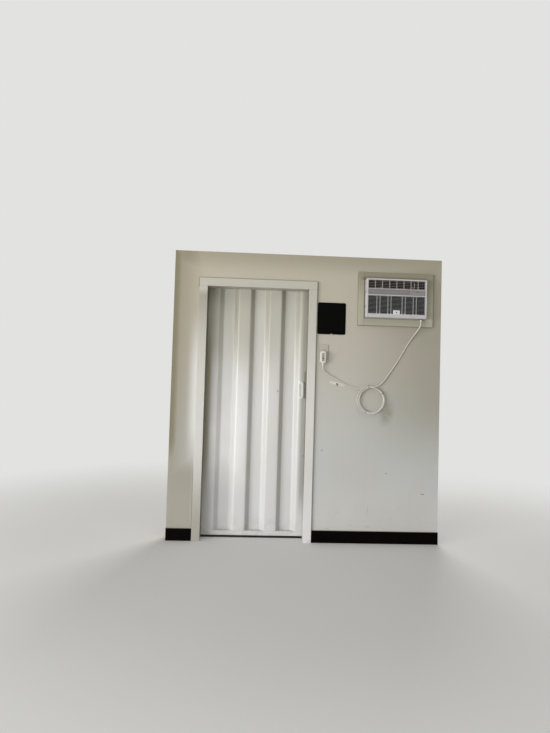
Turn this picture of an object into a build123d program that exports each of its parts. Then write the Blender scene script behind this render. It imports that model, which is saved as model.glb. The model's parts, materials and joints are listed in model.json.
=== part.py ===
from build123d import *
import math
import os

# End wall of a portable site cabin, with its door.
# A corrugated steel skin stands on a flat steel sill. A timber frame and painted plywood line it on
# the room side. A steel door cut from the same corrugated sheet opens outwards, and a room air
# conditioner, a breaker panel and an outlet with the conditioner's plug and lead are set in the wall.
# Axes: +X right as seen from the room, +Y out of the cabin, +Z up. Sizes in millimetres.
# Origin: middle of the underside of the steel sill, in the middle of the steel skin's depth.

# Wall
WALL_WIDTH = 2130.0
WALL_HEIGHT = 2260.0

# Steel skin and frame
STEEL_DEPTH = 50.0
STEEL_WALL = 3.0
STEEL_CORNER = 4.0
SILL_THICKNESS = 8.0
TOP_RAIL_HEIGHT = 50.0
JAMB_TUBE_WIDTH = 50.0
SHEET_THICKNESS = 2.0
CORRUGATION_DEPTH = 45.6
FLAT_NEAR_ROOM = 110.0
FLAT_AWAY = 104.0
SLOPE_RUN = 18.0
CORRUGATION_FROM_DOOR = 108.0
BEND_RADIUS = 4.0

# Timber frame and lining
STUD_WIDTH = 38.0
STUD_DEPTH = 89.0
STUD_EASE = 2.5
LINING_THICKNESS = 12.0

# Doorway
DOOR_FROM_LEFT = 262.0
DOOR_HEAD_ROOM = 276.0
CASING_WIDTH = 64.0
CASING_THICKNESS = 19.0
CASING_EASE = 2.0
CASING_SET_BACK = 4.0
LINER_THICKNESS = 19.0
BASE_HEIGHT = 95.0
BASE_THICKNESS = 12.0
BASE_EASE = 3.0

# Door leaf
MOVING_GAP = 5.0
CLOSING_GAP = 8.0
LEAF_SIDE_LAP = 36.0
LEAF_TOP_LAP = 36.0
LEAF_SILL_GAP = 8.0
LEAF_STILE_WIDTH = 30.0
LEAF_TOP_RAIL_HEIGHT = 30.0
LEAF_BOTTOM_RAIL_HEIGHT = 36.0
LEAF_WALL = 2.5

# Hinges
HINGE_FROM_END = 244.0
HINGE_BARREL_RADIUS = 10.0
HINGE_KNUCKLE_LENGTH = 48.0
HINGE_KNUCKLE_GAP = 1.0
HINGE_PLATE_THICKNESS = 5.0
HINGE_PLATE_WIDTH = 42.0
HINGE_PIN_RADIUS = 5.0
HINGE_PIN_CLEARANCE = 0.3
HINGE_CAP = 6.0
HINGE_FACE_GAP = 0.5

# Door pulls and latch strip
PULL_FROM_CLEAR_EDGE = 27.0
PULL_BOTTOM = 1121.0
PULL_LENGTH = 128.0
PULL_REACH = 32.0
PULL_BAR_WIDTH = 14.0
PULL_BAR_THICKNESS = 6.0
PULL_BEND = 12.0
PULL_FOOT_WIDTH = 24.0
PULL_FOOT_HEIGHT = 18.0
INSIDE_FOOT_WIDTH = 36.0
INSIDE_FOOT_SHIFT = -9.0
PULL_FOOT_THICKNESS = 3.0
PULL_FOOT_CORNER = 5.0
LATCH_STRIP_WIDTH = 11.0
LATCH_STRIP_BOTTOM = 1125.0
LATCH_STRIP_LENGTH = 210.0
LATCH_STRIP_THICKNESS = 3.0

# Air conditioner
AC_FROM_RIGHT = 139.0
AC_FROM_CEILING = 176.0
AC_CASE_WIDTH = 478.0
AC_CASE_HEIGHT = 303.0
AC_CASE_WALL = 1.5
AC_CASE_CORNER = 6.0
AC_DEPTH = 390.0
AC_PROUD = 75.0
AC_FRONT_LAP = 3.0
AC_FRONT_DEPTH = 45.0
AC_FRONT_WALL = 3.0
AC_FRONT_CORNER = 9.0
AC_FRONT_ROUND = 5.0
AC_OPENING_GAP = 5.0
AC_FRAME_WIDTH = 25.0
AC_FRAME_WALL = 3.0
AC_CASE_IN_FRONT = 12.0
AC_BORDER_SIDE = 15.0
AC_BORDER_TOP = 11.0
AC_DISCHARGE_HEIGHT = 70.0
AC_BAND_HEIGHT = 53.0
AC_BAND_RECESS = 1.2
AC_BAND_BORDER = 6.0
AC_INTAKE_HEIGHT = 146.0
AC_GRILLE_RECESS = 3.0
AC_GRILLE_RIM = 3.0
DISCHARGE_BARS = 7
DISCHARGE_BAR_THICKNESS = 4.0
DISCHARGE_LOUVRES = 5
DISCHARGE_LOUVRE_THICKNESS = 2.0
DISCHARGE_DEPTH = 16.0
DISCHARGE_TILT = 20.0
INTAKE_SLATS = 14
INTAKE_SLAT_THICKNESS = 2.8
INTAKE_DEPTH = 8.0
INTAKE_PAIR_SHARES = (0.249, 0.636)
INTAKE_POST_SPACING = 24.7
INTAKE_POST_WIDTH = 6.0
INTAKE_POST_PROUD = 1.5
INTAKE_TAB_WIDTH = 54.0
INTAKE_TAB_HEIGHT = 32.0
AC_BAFFLE_THICKNESS = 3.0
AC_REAR_LIP = 14.0
CASE_SLOTS = 8
CASE_SLOT_WIDTH = 4.0
CASE_SLOT_LENGTH = 84.0
CASE_SLOT_SPACING = 16.0
CASE_SLOT_FROM_REAR = 32.0
AC_CONDENSER_DEPTH = 24.0
AC_TRIM_LEFT = 46.0
AC_TRIM_RIGHT = 66.0
AC_TRIM_TOP = 56.0
AC_TRIM_BOTTOM = 60.0

# Breaker panel
PANEL_FROM_DOOR = 73.0
PANEL_FROM_AC = 143.0
PANEL_FROM_CEILING = 373.0
PANEL_WIDTH = 225.0
PANEL_HEIGHT = 253.0
PANEL_CORNER = 13.0
PANEL_COVER_THICKNESS = 4.0
PANEL_DOOR_BORDER = 16.0
PANEL_DOOR_PROUD = 5.0
PANEL_DOOR_EASE = 1.5
PANEL_NOTCH_RADIUS = 7.0
PANEL_BOX_BORDER = 10.0
PANEL_BOX_DEPTH = 75.0
PANEL_BOX_WALL = 1.5

# Outlet
OUTLET_FROM_DOOR = 131.0
OUTLET_BELOW_PANEL = 143.0
OUTLET_PLATE_WIDTH = 70.0
OUTLET_PLATE_HEIGHT = 115.0
OUTLET_PLATE_THICKNESS = 5.0
OUTLET_PLATE_CORNER = 4.0
OUTLET_PLATE_EASE = 1.6
OUTLET_SOCKET_SPACING = 39.0
OUTLET_SOCKET_RADIUS = 17.0
OUTLET_SOCKET_HEIGHT = 28.0
OUTLET_SOCKET_PROUD = 1.0
OUTLET_BOX_WIDTH = 52.0
OUTLET_BOX_HEIGHT = 95.0
OUTLET_BOX_DEPTH = 60.0

# Plug and lead of the air conditioner
PLUG_OFFSET = 10.0
PLUG_DROP = 109.0
PLUG_WIDTH = 44.0
PLUG_HEIGHT = 92.0
PLUG_DEPTH = 40.0
PLUG_CORNER = 12.0
PLUG_ROUND = 5.0
PLUG_BUTTON_WIDTH = 12.0
PLUG_BUTTON_HEIGHT = 9.0
PLUG_BUTTON_PROUD = 1.5
PLUG_BUTTON_SPACING = 18.0
RELIEF_LENGTH = 22.0
RELIEF_WALL = 1.5
RELIEF_SIDES = 12
RELIEF_COLLAR = 4.0
AC_RELIEF_LENGTH = 24.0
AC_RELIEF_FROM_RIGHT = 38.0
AC_RELIEF_FROM_FACE = 29.0
CORD_DIAMETER = 9.0
CORD_SIDES = 8
ARC_SHARE = 0.45
COIL_CENTRE_X = 507.0
COIL_CENTRE_Z = 1123.0
COIL_RADIUS = 104.0
COIL_THICKNESS = 28.0
COIL_SIDES = 24
COIL_EASE = 8.0
CORD_UPPER_ROUTE = [
    (886.0, -172.0, 1749.0), (886.0, -172.0, 1723.0), (872.0, -160.0, 1694.0), (846.0, -144.0, 1653.0),
    (814.0, -134.0, 1603.0), (778.0, -131.2, 1541.0), (738.0, -131.8, 1469.0), (696.0, -132.0, 1399.0),
    (650.0, -134.0, 1332.0), (606.0, -138.0, 1272.0), (563.0, -141.0, 1232.0), (526.0, -142.0, 1226.0),
]
CORD_LOWER_ROUTE = [
    (490.0, -142.0, 1226.0), (452.0, -141.0, 1216.0), (402.0, -137.0, 1210.0), (346.0, -133.0, 1223.0),
    (292.0, -131.6, 1249.0), (240.0, -131.2, 1278.0), (190.0, -133.0, 1304.0), (150.0, -138.0, 1325.0),
    (128.0, -144.0, 1341.0), (118.0, -150.0, 1360.0), (118.0, -150.0, 1382.0),
]

# Planes across the wall's thickness, from outside to the room
STEEL_OUTER = STEEL_DEPTH / 2
STEEL_INNER = -STEEL_DEPTH / 2
STUD_INNER = STEEL_INNER - STUD_DEPTH
LINING_FACE = STUD_INNER - LINING_THICKNESS
CASING_FACE = LINING_FACE - CASING_THICKNESS
BASE_FACE = LINING_FACE - BASE_THICKNESS

# Lines along the wall. The doorway takes the width that the panel and the air conditioner leave it.
WALL_LEFT = -WALL_WIDTH / 2
WALL_RIGHT = WALL_WIDTH / 2
AC_OPEN_RIGHT = WALL_RIGHT - AC_FROM_RIGHT
AC_OPEN_LEFT = AC_OPEN_RIGHT - AC_CASE_WIDTH - 2 * AC_OPENING_GAP
AC_CENTRE_X = (AC_OPEN_LEFT + AC_OPEN_RIGHT) / 2
PANEL_RIGHT = AC_OPEN_LEFT - PANEL_FROM_AC
PANEL_LEFT = PANEL_RIGHT - PANEL_WIDTH
DOOR_LEFT = WALL_LEFT + DOOR_FROM_LEFT
DOOR_RIGHT = PANEL_LEFT - PANEL_FROM_DOOR
DOOR_CLEAR_HEIGHT = WALL_HEIGHT - DOOR_HEAD_ROOM
LINER_LEFT = DOOR_LEFT - CASING_SET_BACK
LINER_RIGHT = DOOR_RIGHT + CASING_SET_BACK
LINER_TOP = DOOR_CLEAR_HEIGHT + CASING_SET_BACK
ROUGH_LEFT = LINER_LEFT - LINER_THICKNESS
ROUGH_RIGHT = LINER_RIGHT + LINER_THICKNESS
ROUGH_TOP = LINER_TOP + LINER_THICKNESS
LINER_OUTER_FACE = STEEL_INNER - MOVING_GAP
LEAF_LEFT = LINER_LEFT - LEAF_SIDE_LAP
LEAF_RIGHT = LINER_RIGHT + LEAF_SIDE_LAP
LEAF_BOTTOM = SILL_THICKNESS + LEAF_SILL_GAP
LEAF_TOP = LINER_TOP + LEAF_TOP_LAP
JAMB_LEFT = LEAF_LEFT - MOVING_GAP
JAMB_RIGHT = LEAF_RIGHT + CLOSING_GAP
HEAD_TUBE_BOTTOM = LEAF_TOP + MOVING_GAP
HEAD_TUBE_TOP = HEAD_TUBE_BOTTOM + JAMB_TUBE_WIDTH
TOP_RAIL_BOTTOM = WALL_HEIGHT - TOP_RAIL_HEIGHT
PLATE_TOP = STUD_WIDTH
TOP_PLATE_BOTTOM = WALL_HEIGHT - STUD_WIDTH

# Hinge axis, in the gap between the jamb and the leaf and just outside them
HINGE_X = LEAF_LEFT - MOVING_GAP / 2
HINGE_Y = STEEL_OUTER + HINGE_BARREL_RADIUS + HINGE_FACE_GAP
LOW_HINGE = LEAF_BOTTOM + HINGE_FROM_END
HIGH_HINGE = LEAF_TOP - HINGE_FROM_END
HINGE_HEIGHTS = (LOW_HINGE, (LOW_HINGE + HIGH_HINGE) / 2, HIGH_HINGE)

# Air conditioner lines
AC_OPEN_TOP = WALL_HEIGHT - AC_FROM_CEILING
AC_CASE_BOTTOM = AC_OPEN_TOP - AC_OPENING_GAP - AC_CASE_HEIGHT
AC_OPEN_BOTTOM = AC_CASE_BOTTOM
AC_FRONT_FACE = LINING_FACE - AC_PROUD
AC_FRONT_BACK = AC_FRONT_FACE + AC_FRONT_DEPTH
AC_REAR = AC_FRONT_FACE + AC_DEPTH
AC_FRONT_WIDTH = AC_CASE_WIDTH + 2 * AC_FRONT_LAP
AC_FRONT_HEIGHT = AC_CASE_HEIGHT + 2 * AC_FRONT_LAP
AC_FRONT_BOTTOM = AC_CASE_BOTTOM - AC_FRONT_LAP
AC_FRONT_TOP = AC_FRONT_BOTTOM + AC_FRONT_HEIGHT
AC_GRILLE_WIDTH = AC_FRONT_WIDTH - 2 * AC_BORDER_SIDE
AC_DISCHARGE_TOP = AC_FRONT_TOP - AC_BORDER_TOP
AC_DISCHARGE_BOTTOM = AC_DISCHARGE_TOP - AC_DISCHARGE_HEIGHT
AC_INTAKE_TOP = AC_DISCHARGE_BOTTOM - AC_BAND_HEIGHT
AC_INTAKE_BOTTOM = AC_INTAKE_TOP - AC_INTAKE_HEIGHT
AC_FRAME_LEFT = AC_OPEN_LEFT - AC_FRAME_WALL
AC_FRAME_RIGHT = AC_OPEN_RIGHT + AC_FRAME_WALL
AC_FRAME_BOTTOM = AC_OPEN_BOTTOM - AC_FRAME_WALL
AC_FRAME_TOP = AC_OPEN_TOP + AC_FRAME_WALL

# Panel, outlet and plug lines
PANEL_BOTTOM = WALL_HEIGHT - PANEL_FROM_CEILING - PANEL_HEIGHT
OUTLET_X = DOOR_RIGHT + OUTLET_FROM_DOOR
OUTLET_Z = PANEL_BOTTOM - OUTLET_BELOW_PANEL
PLUG_X = OUTLET_X - PLUG_OFFSET
PLUG_BOTTOM = OUTLET_Z - PLUG_DROP

# Corrugation, set out from the doorway so that it is the same on the leaf and the wall
CORRUGATION_START = DOOR_LEFT + CORRUGATION_FROM_DOOR
CORRUGATION_PITCH = FLAT_NEAR_ROOM + FLAT_AWAY + 2 * SLOPE_RUN
SHEET_SWING = (CORRUGATION_DEPTH - SHEET_THICKNESS) / 2


def block(x0, x1, y0, y1, z0, z1):
    """A box between two corners."""
    return Pos((x0 + x1) / 2, (y0 + y1) / 2, (z0 + z1) / 2) * Box(x1 - x0, y1 - y0, z1 - z0)


def board(x0, x1, y0, y1, z0, z1, along, ease):
    """A sawn or planed board whose long edges are eased."""
    return chamfer(block(x0, x1, y0, y1, z0, z1).edges().filter_by(along), ease)


def hollow_section(width, depth, wall, corner):
    """Section of a rectangular steel tube."""
    return RectangleRounded(width, depth, corner) - Rectangle(width - 2 * wall, depth - 2 * wall)


def tube_upright(x0, x1, z0, z1, wall):
    """A tube of the steel frame that stands up."""
    section = hollow_section(x1 - x0, STEEL_DEPTH, wall, STEEL_CORNER)
    return extrude(Pos((x0 + x1) / 2, 0, z0) * section, z1 - z0)


def tube_level(x0, x1, z0, z1, wall):
    """A tube of the steel frame that lies along the wall."""
    section = hollow_section(STEEL_DEPTH, z1 - z0, wall, STEEL_CORNER)
    end = Plane((x0, 0, (z0 + z1) / 2), x_dir=(0, 1, 0), z_dir=(1, 0, 0))
    return extrude(end * section, x1 - x0)


def skin_offset(x):
    """How far the skin's middle line lies from the middle of the wall's steel at x."""
    along = (x - CORRUGATION_START + SLOPE_RUN / 2) % CORRUGATION_PITCH
    if along < SLOPE_RUN:
        return SHEET_SWING * (2 * along / SLOPE_RUN - 1)
    if along < SLOPE_RUN + FLAT_AWAY:
        return SHEET_SWING
    if along < 2 * SLOPE_RUN + FLAT_AWAY:
        return SHEET_SWING * (1 - 2 * (along - SLOPE_RUN - FLAT_AWAY) / SLOPE_RUN)
    return -SHEET_SWING


def skin_bends(x0, x1):
    """Bends of the skin's middle line between x0 and x1, as (x, y, 1 or -1 as the slope goes out or in)."""
    bends = []
    first = math.floor((x0 - CORRUGATION_START) / CORRUGATION_PITCH) - 1
    last = math.ceil((x1 - CORRUGATION_START) / CORRUGATION_PITCH) + 1
    for ridge in range(first, last + 1):
        away = CORRUGATION_START + ridge * CORRUGATION_PITCH
        back = away + SLOPE_RUN + FLAT_AWAY
        half = SLOPE_RUN / 2
        bends += [(away - half, -SHEET_SWING, 1), (away + half, SHEET_SWING, 1)]
        bends += [(back - half, SHEET_SWING, -1), (back + half, -SHEET_SWING, -1)]
    margin = 2 * BEND_RADIUS
    return [bend for bend in bends if x0 + margin < bend[0] < x1 - margin]


def starts_slope(bend):
    """Whether the slope beside a bend lies on its right."""
    return (bend[2] > 0) == (bend[1] < 0)


def skin_face_line(x0, x1, side):
    """One face of the skin from x0 to x1, with its rolled bends. Side is 1 outside and -1 in the room."""
    half = SHEET_THICKNESS / 2
    lean = half * math.tan(math.atan2(2 * SHEET_SWING, SLOPE_RUN) / 2)
    bends = skin_bends(x0, x1)
    if not bends:
        return Line((x0, skin_offset(x0) + side * half), (x1, skin_offset(x1) + side * half))
    first_y = bends[0][1] if starts_slope(bends[0]) else -bends[0][1]
    last_y = -bends[-1][1] if starts_slope(bends[-1]) else bends[-1][1]
    points = [(x0, first_y + side * half)]
    radii = []
    for x, y, out in bends:
        points.append((x - side * out * lean, y + side * half))
        tight = (y < 0) == (side > 0)
        radii.append(BEND_RADIUS if tight else BEND_RADIUS + SHEET_THICKNESS)
    points.append((x1, last_y + side * half))
    return FilletPolyline(*points, radius=radii)


def skin_sheet(x0, x1, z0, z1):
    """A piece of the corrugated skin."""
    outer = skin_face_line(x0, x1, 1)
    inner = skin_face_line(x0, x1, -1)
    ends = Line(outer @ 0, inner @ 0) + Line(outer @ 1, inner @ 1)
    return extrude(Pos(0, 0, z0) * make_face(outer + inner + ends), z1 - z0)


def cord_tube(route, name):
    """A tube along straight runs joined by tangent arcs, each as large as its two runs allow."""
    points = [Vector(*point) for point in route]
    radii = []
    for before, corner, after in zip(points, points[1:], points[2:]):
        arriving = corner - before
        leaving = after - corner
        turn = math.radians(arriving.get_angle(leaving))
        shorter = min(arriving.length, leaving.length)
        radii.append(ARC_SHARE * shorter / math.tan(turn / 2))
    path = FilletPolyline(*points, radius=radii)
    start = Plane(points[0], z_dir=points[1] - points[0])
    section = RegularPolygon(CORD_DIAMETER / 2, CORD_SIDES)
    tube = sweep(start * section, path=path)
    ideal = section.area * path.length
    print(name, "length", round(path.length, 1), "volume over ideal", round(tube.volume / ideal, 4))
    print(name, "radii", [round(radius) for radius in radii])
    return tube


# Steel frame and skin

def sill_bar():
    return block(WALL_LEFT, WALL_RIGHT, STEEL_INNER, STEEL_OUTER, 0, SILL_THICKNESS)


def top_rail():
    return tube_level(WALL_LEFT, WALL_RIGHT, TOP_RAIL_BOTTOM, WALL_HEIGHT, STEEL_WALL)


def jamb_tube(x0):
    return tube_upright(x0, x0 + JAMB_TUBE_WIDTH, SILL_THICKNESS, TOP_RAIL_BOTTOM, STEEL_WALL)


def head_tube():
    return tube_level(JAMB_LEFT, JAMB_RIGHT, HEAD_TUBE_BOTTOM, HEAD_TUBE_TOP, STEEL_WALL)


def skin_at_ac():
    """Skin under and over the air conditioner."""
    under = skin_sheet(AC_FRAME_LEFT, AC_FRAME_RIGHT, SILL_THICKNESS, AC_FRAME_BOTTOM)
    over = skin_sheet(AC_FRAME_LEFT, AC_FRAME_RIGHT, AC_FRAME_TOP, TOP_RAIL_BOTTOM)
    return Compound([under, over])


def ac_steel_frame():
    """Angle welded round the hole in the skin: a web through the wall and a flange on the skin outside."""
    skin_face = CORRUGATION_DEPTH / 2
    web = block(AC_FRAME_LEFT, AC_FRAME_RIGHT, STEEL_INNER, skin_face, AC_FRAME_BOTTOM, AC_FRAME_TOP)
    flange = block(AC_OPEN_LEFT - AC_FRAME_WIDTH, AC_OPEN_RIGHT + AC_FRAME_WIDTH,
                   skin_face, skin_face + AC_FRAME_WALL,
                   AC_OPEN_BOTTOM - AC_FRAME_WIDTH, AC_OPEN_TOP + AC_FRAME_WIDTH)
    hole = block(AC_OPEN_LEFT, AC_OPEN_RIGHT, 2 * STEEL_INNER, 2 * STEEL_OUTER, AC_OPEN_BOTTOM, AC_OPEN_TOP)
    return web + flange - hole


# Timber frame and lining

def upright_stud(x0, z0, z1):
    return board(x0, x0 + STUD_WIDTH, STUD_INNER, STEEL_INNER, z0, z1, Axis.Z, STUD_EASE)


def level_stud(x0, x1, z0, height):
    return board(x0, x1, STUD_INNER, STEEL_INNER, z0, z0 + height, Axis.X, STUD_EASE)


def bottom_plates():
    left = level_stud(WALL_LEFT, ROUGH_LEFT, 0, STUD_WIDTH)
    right = level_stud(ROUGH_RIGHT, WALL_RIGHT, 0, STUD_WIDTH)
    return Compound([left, right])


def top_plate():
    return level_stud(WALL_LEFT, WALL_RIGHT, TOP_PLATE_BOTTOM, STUD_WIDTH)


def end_studs():
    left = upright_stud(WALL_LEFT, PLATE_TOP, TOP_PLATE_BOTTOM)
    right = upright_stud(WALL_RIGHT - STUD_WIDTH, PLATE_TOP, TOP_PLATE_BOTTOM)
    return Compound([left, right])


def jamb_studs():
    left = upright_stud(ROUGH_LEFT - STUD_WIDTH, PLATE_TOP, TOP_PLATE_BOTTOM)
    right = upright_stud(ROUGH_RIGHT, PLATE_TOP, TOP_PLATE_BOTTOM)
    return Compound([left, right])


def door_header():
    return level_stud(ROUGH_LEFT, ROUGH_RIGHT, ROUGH_TOP, STUD_DEPTH)


def service_studs():
    """Studs beside the breaker panel and on both sides of the air conditioner."""
    lefts = [PANEL_RIGHT - PANEL_BOX_BORDER, AC_OPEN_LEFT - STUD_WIDTH, AC_OPEN_RIGHT]
    return Compound([upright_stud(x0, PLATE_TOP, TOP_PLATE_BOTTOM) for x0 in lefts])


def ac_cradle():
    """Timbers under and over the air conditioner."""
    under = level_stud(AC_OPEN_LEFT, AC_OPEN_RIGHT, AC_OPEN_BOTTOM - STUD_WIDTH, STUD_WIDTH)
    over = level_stud(AC_OPEN_LEFT, AC_OPEN_RIGHT, AC_OPEN_TOP, STUD_WIDTH)
    return Compound([under, over])


def lining_piece(x0, x1, z0, z1):
    return block(x0, x1, LINING_FACE, STUD_INNER, z0, z1)


def lining_right():
    sheet = lining_piece(ROUGH_RIGHT, WALL_RIGHT, 0, WALL_HEIGHT)
    sheet -= lining_piece(AC_OPEN_LEFT, AC_OPEN_RIGHT, AC_OPEN_BOTTOM, AC_OPEN_TOP)
    sheet -= lining_piece(PANEL_LEFT + PANEL_BOX_BORDER, PANEL_RIGHT - PANEL_BOX_BORDER,
                          PANEL_BOTTOM + PANEL_BOX_BORDER, PANEL_BOTTOM + PANEL_HEIGHT - PANEL_BOX_BORDER)
    half_width = OUTLET_BOX_WIDTH / 2
    half_height = OUTLET_BOX_HEIGHT / 2
    sheet -= lining_piece(OUTLET_X - half_width, OUTLET_X + half_width,
                          OUTLET_Z - half_height, OUTLET_Z + half_height)
    return sheet


# Doorway joinery

def liner_side(x0):
    return block(x0, x0 + LINER_THICKNESS, LINING_FACE, LINER_OUTER_FACE, 0, LINER_TOP)


def liner_head():
    return block(ROUGH_LEFT, ROUGH_RIGHT, LINING_FACE, LINER_OUTER_FACE, LINER_TOP, ROUGH_TOP)


def casing_leg(x0):
    return board(x0, x0 + CASING_WIDTH, CASING_FACE, LINING_FACE, 0, DOOR_CLEAR_HEIGHT, Axis.Z, CASING_EASE)


def casing_head():
    x0 = DOOR_LEFT - CASING_WIDTH
    x1 = DOOR_RIGHT + CASING_WIDTH
    top = DOOR_CLEAR_HEIGHT + CASING_WIDTH
    return board(x0, x1, CASING_FACE, LINING_FACE, DOOR_CLEAR_HEIGHT, top, Axis.X, CASING_EASE)


def base_board(x0, x1):
    plain = block(x0, x1, BASE_FACE, LINING_FACE, 0, BASE_HEIGHT)
    front_top = plain.edges().filter_by(Axis.X).sort_by(Axis.Z)[-2:].sort_by(Axis.Y)[0]
    return fillet(front_top, BASE_EASE)


# Door leaf

def leaf_panel():
    return skin_sheet(LEAF_LEFT + LEAF_STILE_WIDTH, LEAF_RIGHT - LEAF_STILE_WIDTH,
                      LEAF_BOTTOM + LEAF_BOTTOM_RAIL_HEIGHT, LEAF_TOP - LEAF_TOP_RAIL_HEIGHT)


def leaf_stiles():
    left = tube_upright(LEAF_LEFT, LEAF_LEFT + LEAF_STILE_WIDTH, LEAF_BOTTOM, LEAF_TOP, LEAF_WALL)
    right = tube_upright(LEAF_RIGHT - LEAF_STILE_WIDTH, LEAF_RIGHT, LEAF_BOTTOM, LEAF_TOP, LEAF_WALL)
    return Compound([left, right])


def leaf_rails():
    x0 = LEAF_LEFT + LEAF_STILE_WIDTH
    x1 = LEAF_RIGHT - LEAF_STILE_WIDTH
    bottom = tube_level(x0, x1, LEAF_BOTTOM, LEAF_BOTTOM + LEAF_BOTTOM_RAIL_HEIGHT, LEAF_WALL)
    top = tube_level(x0, x1, LEAF_TOP - LEAF_TOP_RAIL_HEIGHT, LEAF_TOP, LEAF_WALL)
    return Compound([bottom, top])


def hinge_plate(x0, x1, z0):
    plate = block(x0, x1, STEEL_OUTER, STEEL_OUTER + HINGE_PLATE_THICKNESS, z0, z0 + HINGE_KNUCKLE_LENGTH)
    return plate


def hinge_jamb_half(z0):
    """Lower knuckle, its plate on the jamb tube and the pin that stands up from it."""
    knuckle = Pos(HINGE_X, HINGE_Y, z0 + HINGE_KNUCKLE_LENGTH / 2)
    knuckle = knuckle * Cylinder(HINGE_BARREL_RADIUS, HINGE_KNUCKLE_LENGTH)
    pin_length = 2 * HINGE_KNUCKLE_LENGTH + HINGE_KNUCKLE_GAP - HINGE_CAP
    pin = Pos(HINGE_X, HINGE_Y, z0 + pin_length / 2) * Cylinder(HINGE_PIN_RADIUS, pin_length)
    plate = hinge_plate(JAMB_LEFT - HINGE_PLATE_WIDTH, HINGE_X, z0)
    return knuckle + plate + pin


def hinge_leaf_half(z0):
    """Upper knuckle with its bore for the pin, and its plate on the leaf."""
    bottom = z0 + HINGE_KNUCKLE_LENGTH + HINGE_KNUCKLE_GAP
    knuckle = Pos(HINGE_X, HINGE_Y, bottom + HINGE_KNUCKLE_LENGTH / 2)
    knuckle = knuckle * Cylinder(HINGE_BARREL_RADIUS, HINGE_KNUCKLE_LENGTH)
    plate = hinge_plate(HINGE_X, LEAF_LEFT + HINGE_PLATE_WIDTH, bottom)
    bore_length = HINGE_KNUCKLE_LENGTH - HINGE_CAP + HINGE_PIN_CLEARANCE
    bore = Pos(HINGE_X, HINGE_Y, bottom + bore_length / 2)
    bore = bore * Cylinder(HINGE_PIN_RADIUS + HINGE_PIN_CLEARANCE, bore_length)
    return knuckle + plate - bore


def door_pull(x, face, outward, foot_width, foot_shift):
    """A bent flat bar on two feet. Face is what it is welded to; outward is 1 outside, -1 in the room."""
    half = PULL_BAR_THICKNESS / 2
    bar_y = face + outward * (PULL_REACH - half)
    low = PULL_BOTTOM + half
    high = PULL_BOTTOM + PULL_LENGTH - half
    foot_y = face + outward * PULL_FOOT_THICKNESS / 2
    path = FilletPolyline((x, foot_y, low), (x, bar_y, low), (x, bar_y, high), (x, foot_y, high),
                          radius=PULL_BEND)
    start = Plane((x, foot_y, low), x_dir=(1, 0, 0), z_dir=(0, outward, 0))
    pull = sweep(start * Rectangle(PULL_BAR_WIDTH, PULL_BAR_THICKNESS), path=path)
    for z in (low, high):
        foot = Plane((x + foot_shift, face, z), x_dir=(1, 0, 0), z_dir=(0, outward, 0))
        outline = chamfer(Rectangle(foot_width, PULL_FOOT_HEIGHT).vertices(), PULL_FOOT_CORNER)
        pull += extrude(foot * outline, PULL_FOOT_THICKNESS)
    return pull


def latch_strip():
    """Narrow steel strip on the leaf's face at its closing edge."""
    face = -CORRUGATION_DEPTH / 2
    x1 = DOOR_RIGHT - 1
    x0 = x1 - LATCH_STRIP_WIDTH
    top = LATCH_STRIP_BOTTOM + LATCH_STRIP_LENGTH
    return block(x0, x1, face - LATCH_STRIP_THICKNESS, face, LATCH_STRIP_BOTTOM, top)


# Air conditioner

def ac_section(width, height, corner):
    """A rounded outline in the plane of the wall, centred on the air conditioner."""
    return RectangleRounded(width, height, corner)


def ac_plane(y):
    """Plane across the air conditioner at y, that looks out of the cabin."""
    centre_z = AC_CASE_BOTTOM + AC_CASE_HEIGHT / 2
    return Plane((AC_CENTRE_X, y, centre_z), x_dir=(-1, 0, 0), z_dir=(0, 1, 0))


def ac_case():
    """Sheet-metal case, open at the front, with a lip round the open back."""
    front = AC_FRONT_BACK - AC_CASE_IN_FRONT
    outer = ac_section(AC_CASE_WIDTH, AC_CASE_HEIGHT, AC_CASE_CORNER)
    inner = ac_section(AC_CASE_WIDTH - 2 * AC_CASE_WALL, AC_CASE_HEIGHT - 2 * AC_CASE_WALL,
                       AC_CASE_CORNER - AC_CASE_WALL)
    window = ac_section(AC_CASE_WIDTH - 2 * AC_REAR_LIP, AC_CASE_HEIGHT - 2 * AC_REAR_LIP, AC_CASE_CORNER)
    sleeve = extrude(ac_plane(front) * (outer - inner), AC_REAR - AC_CASE_WALL - front)
    lip = extrude(ac_plane(AC_REAR - AC_CASE_WALL) * (outer - window), AC_CASE_WALL)
    return sleeve + lip - case_slots()


def case_slots():
    """Air slots through both sides and the top of the case, outside the wall."""
    y1 = AC_REAR - CASE_SLOT_FROM_REAR
    y0 = y1 - CASE_SLOT_LENGTH
    half_width = AC_CASE_WIDTH / 2 + 1
    top = AC_CASE_BOTTOM + AC_CASE_HEIGHT
    middle_z = AC_CASE_BOTTOM + AC_CASE_HEIGHT / 2
    slots = []
    for slot in range(CASE_SLOTS):
        along = (slot - (CASE_SLOTS - 1) / 2) * CASE_SLOT_SPACING
        z0 = middle_z + along - CASE_SLOT_WIDTH / 2
        x0 = AC_CENTRE_X + along - CASE_SLOT_WIDTH / 2
        slots.append(block(AC_CENTRE_X - half_width, AC_CENTRE_X + half_width, y0, y1,
                           z0, z0 + CASE_SLOT_WIDTH))
        slots.append(block(x0, x0 + CASE_SLOT_WIDTH, y0, y1, top - AC_CASE_CORNER, top + 1))
    return slots


def ac_condenser():
    """Coil pack that closes the back of the case."""
    height = AC_CASE_HEIGHT - 2 * (AC_CASE_WALL + AC_CASE_CORNER)
    outline = Rectangle(AC_CASE_WIDTH - 2 * AC_CASE_WALL, height)
    return extrude(ac_plane(AC_REAR - AC_CASE_WALL - AC_CONDENSER_DEPTH) * outline, AC_CONDENSER_DEPTH)


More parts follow.
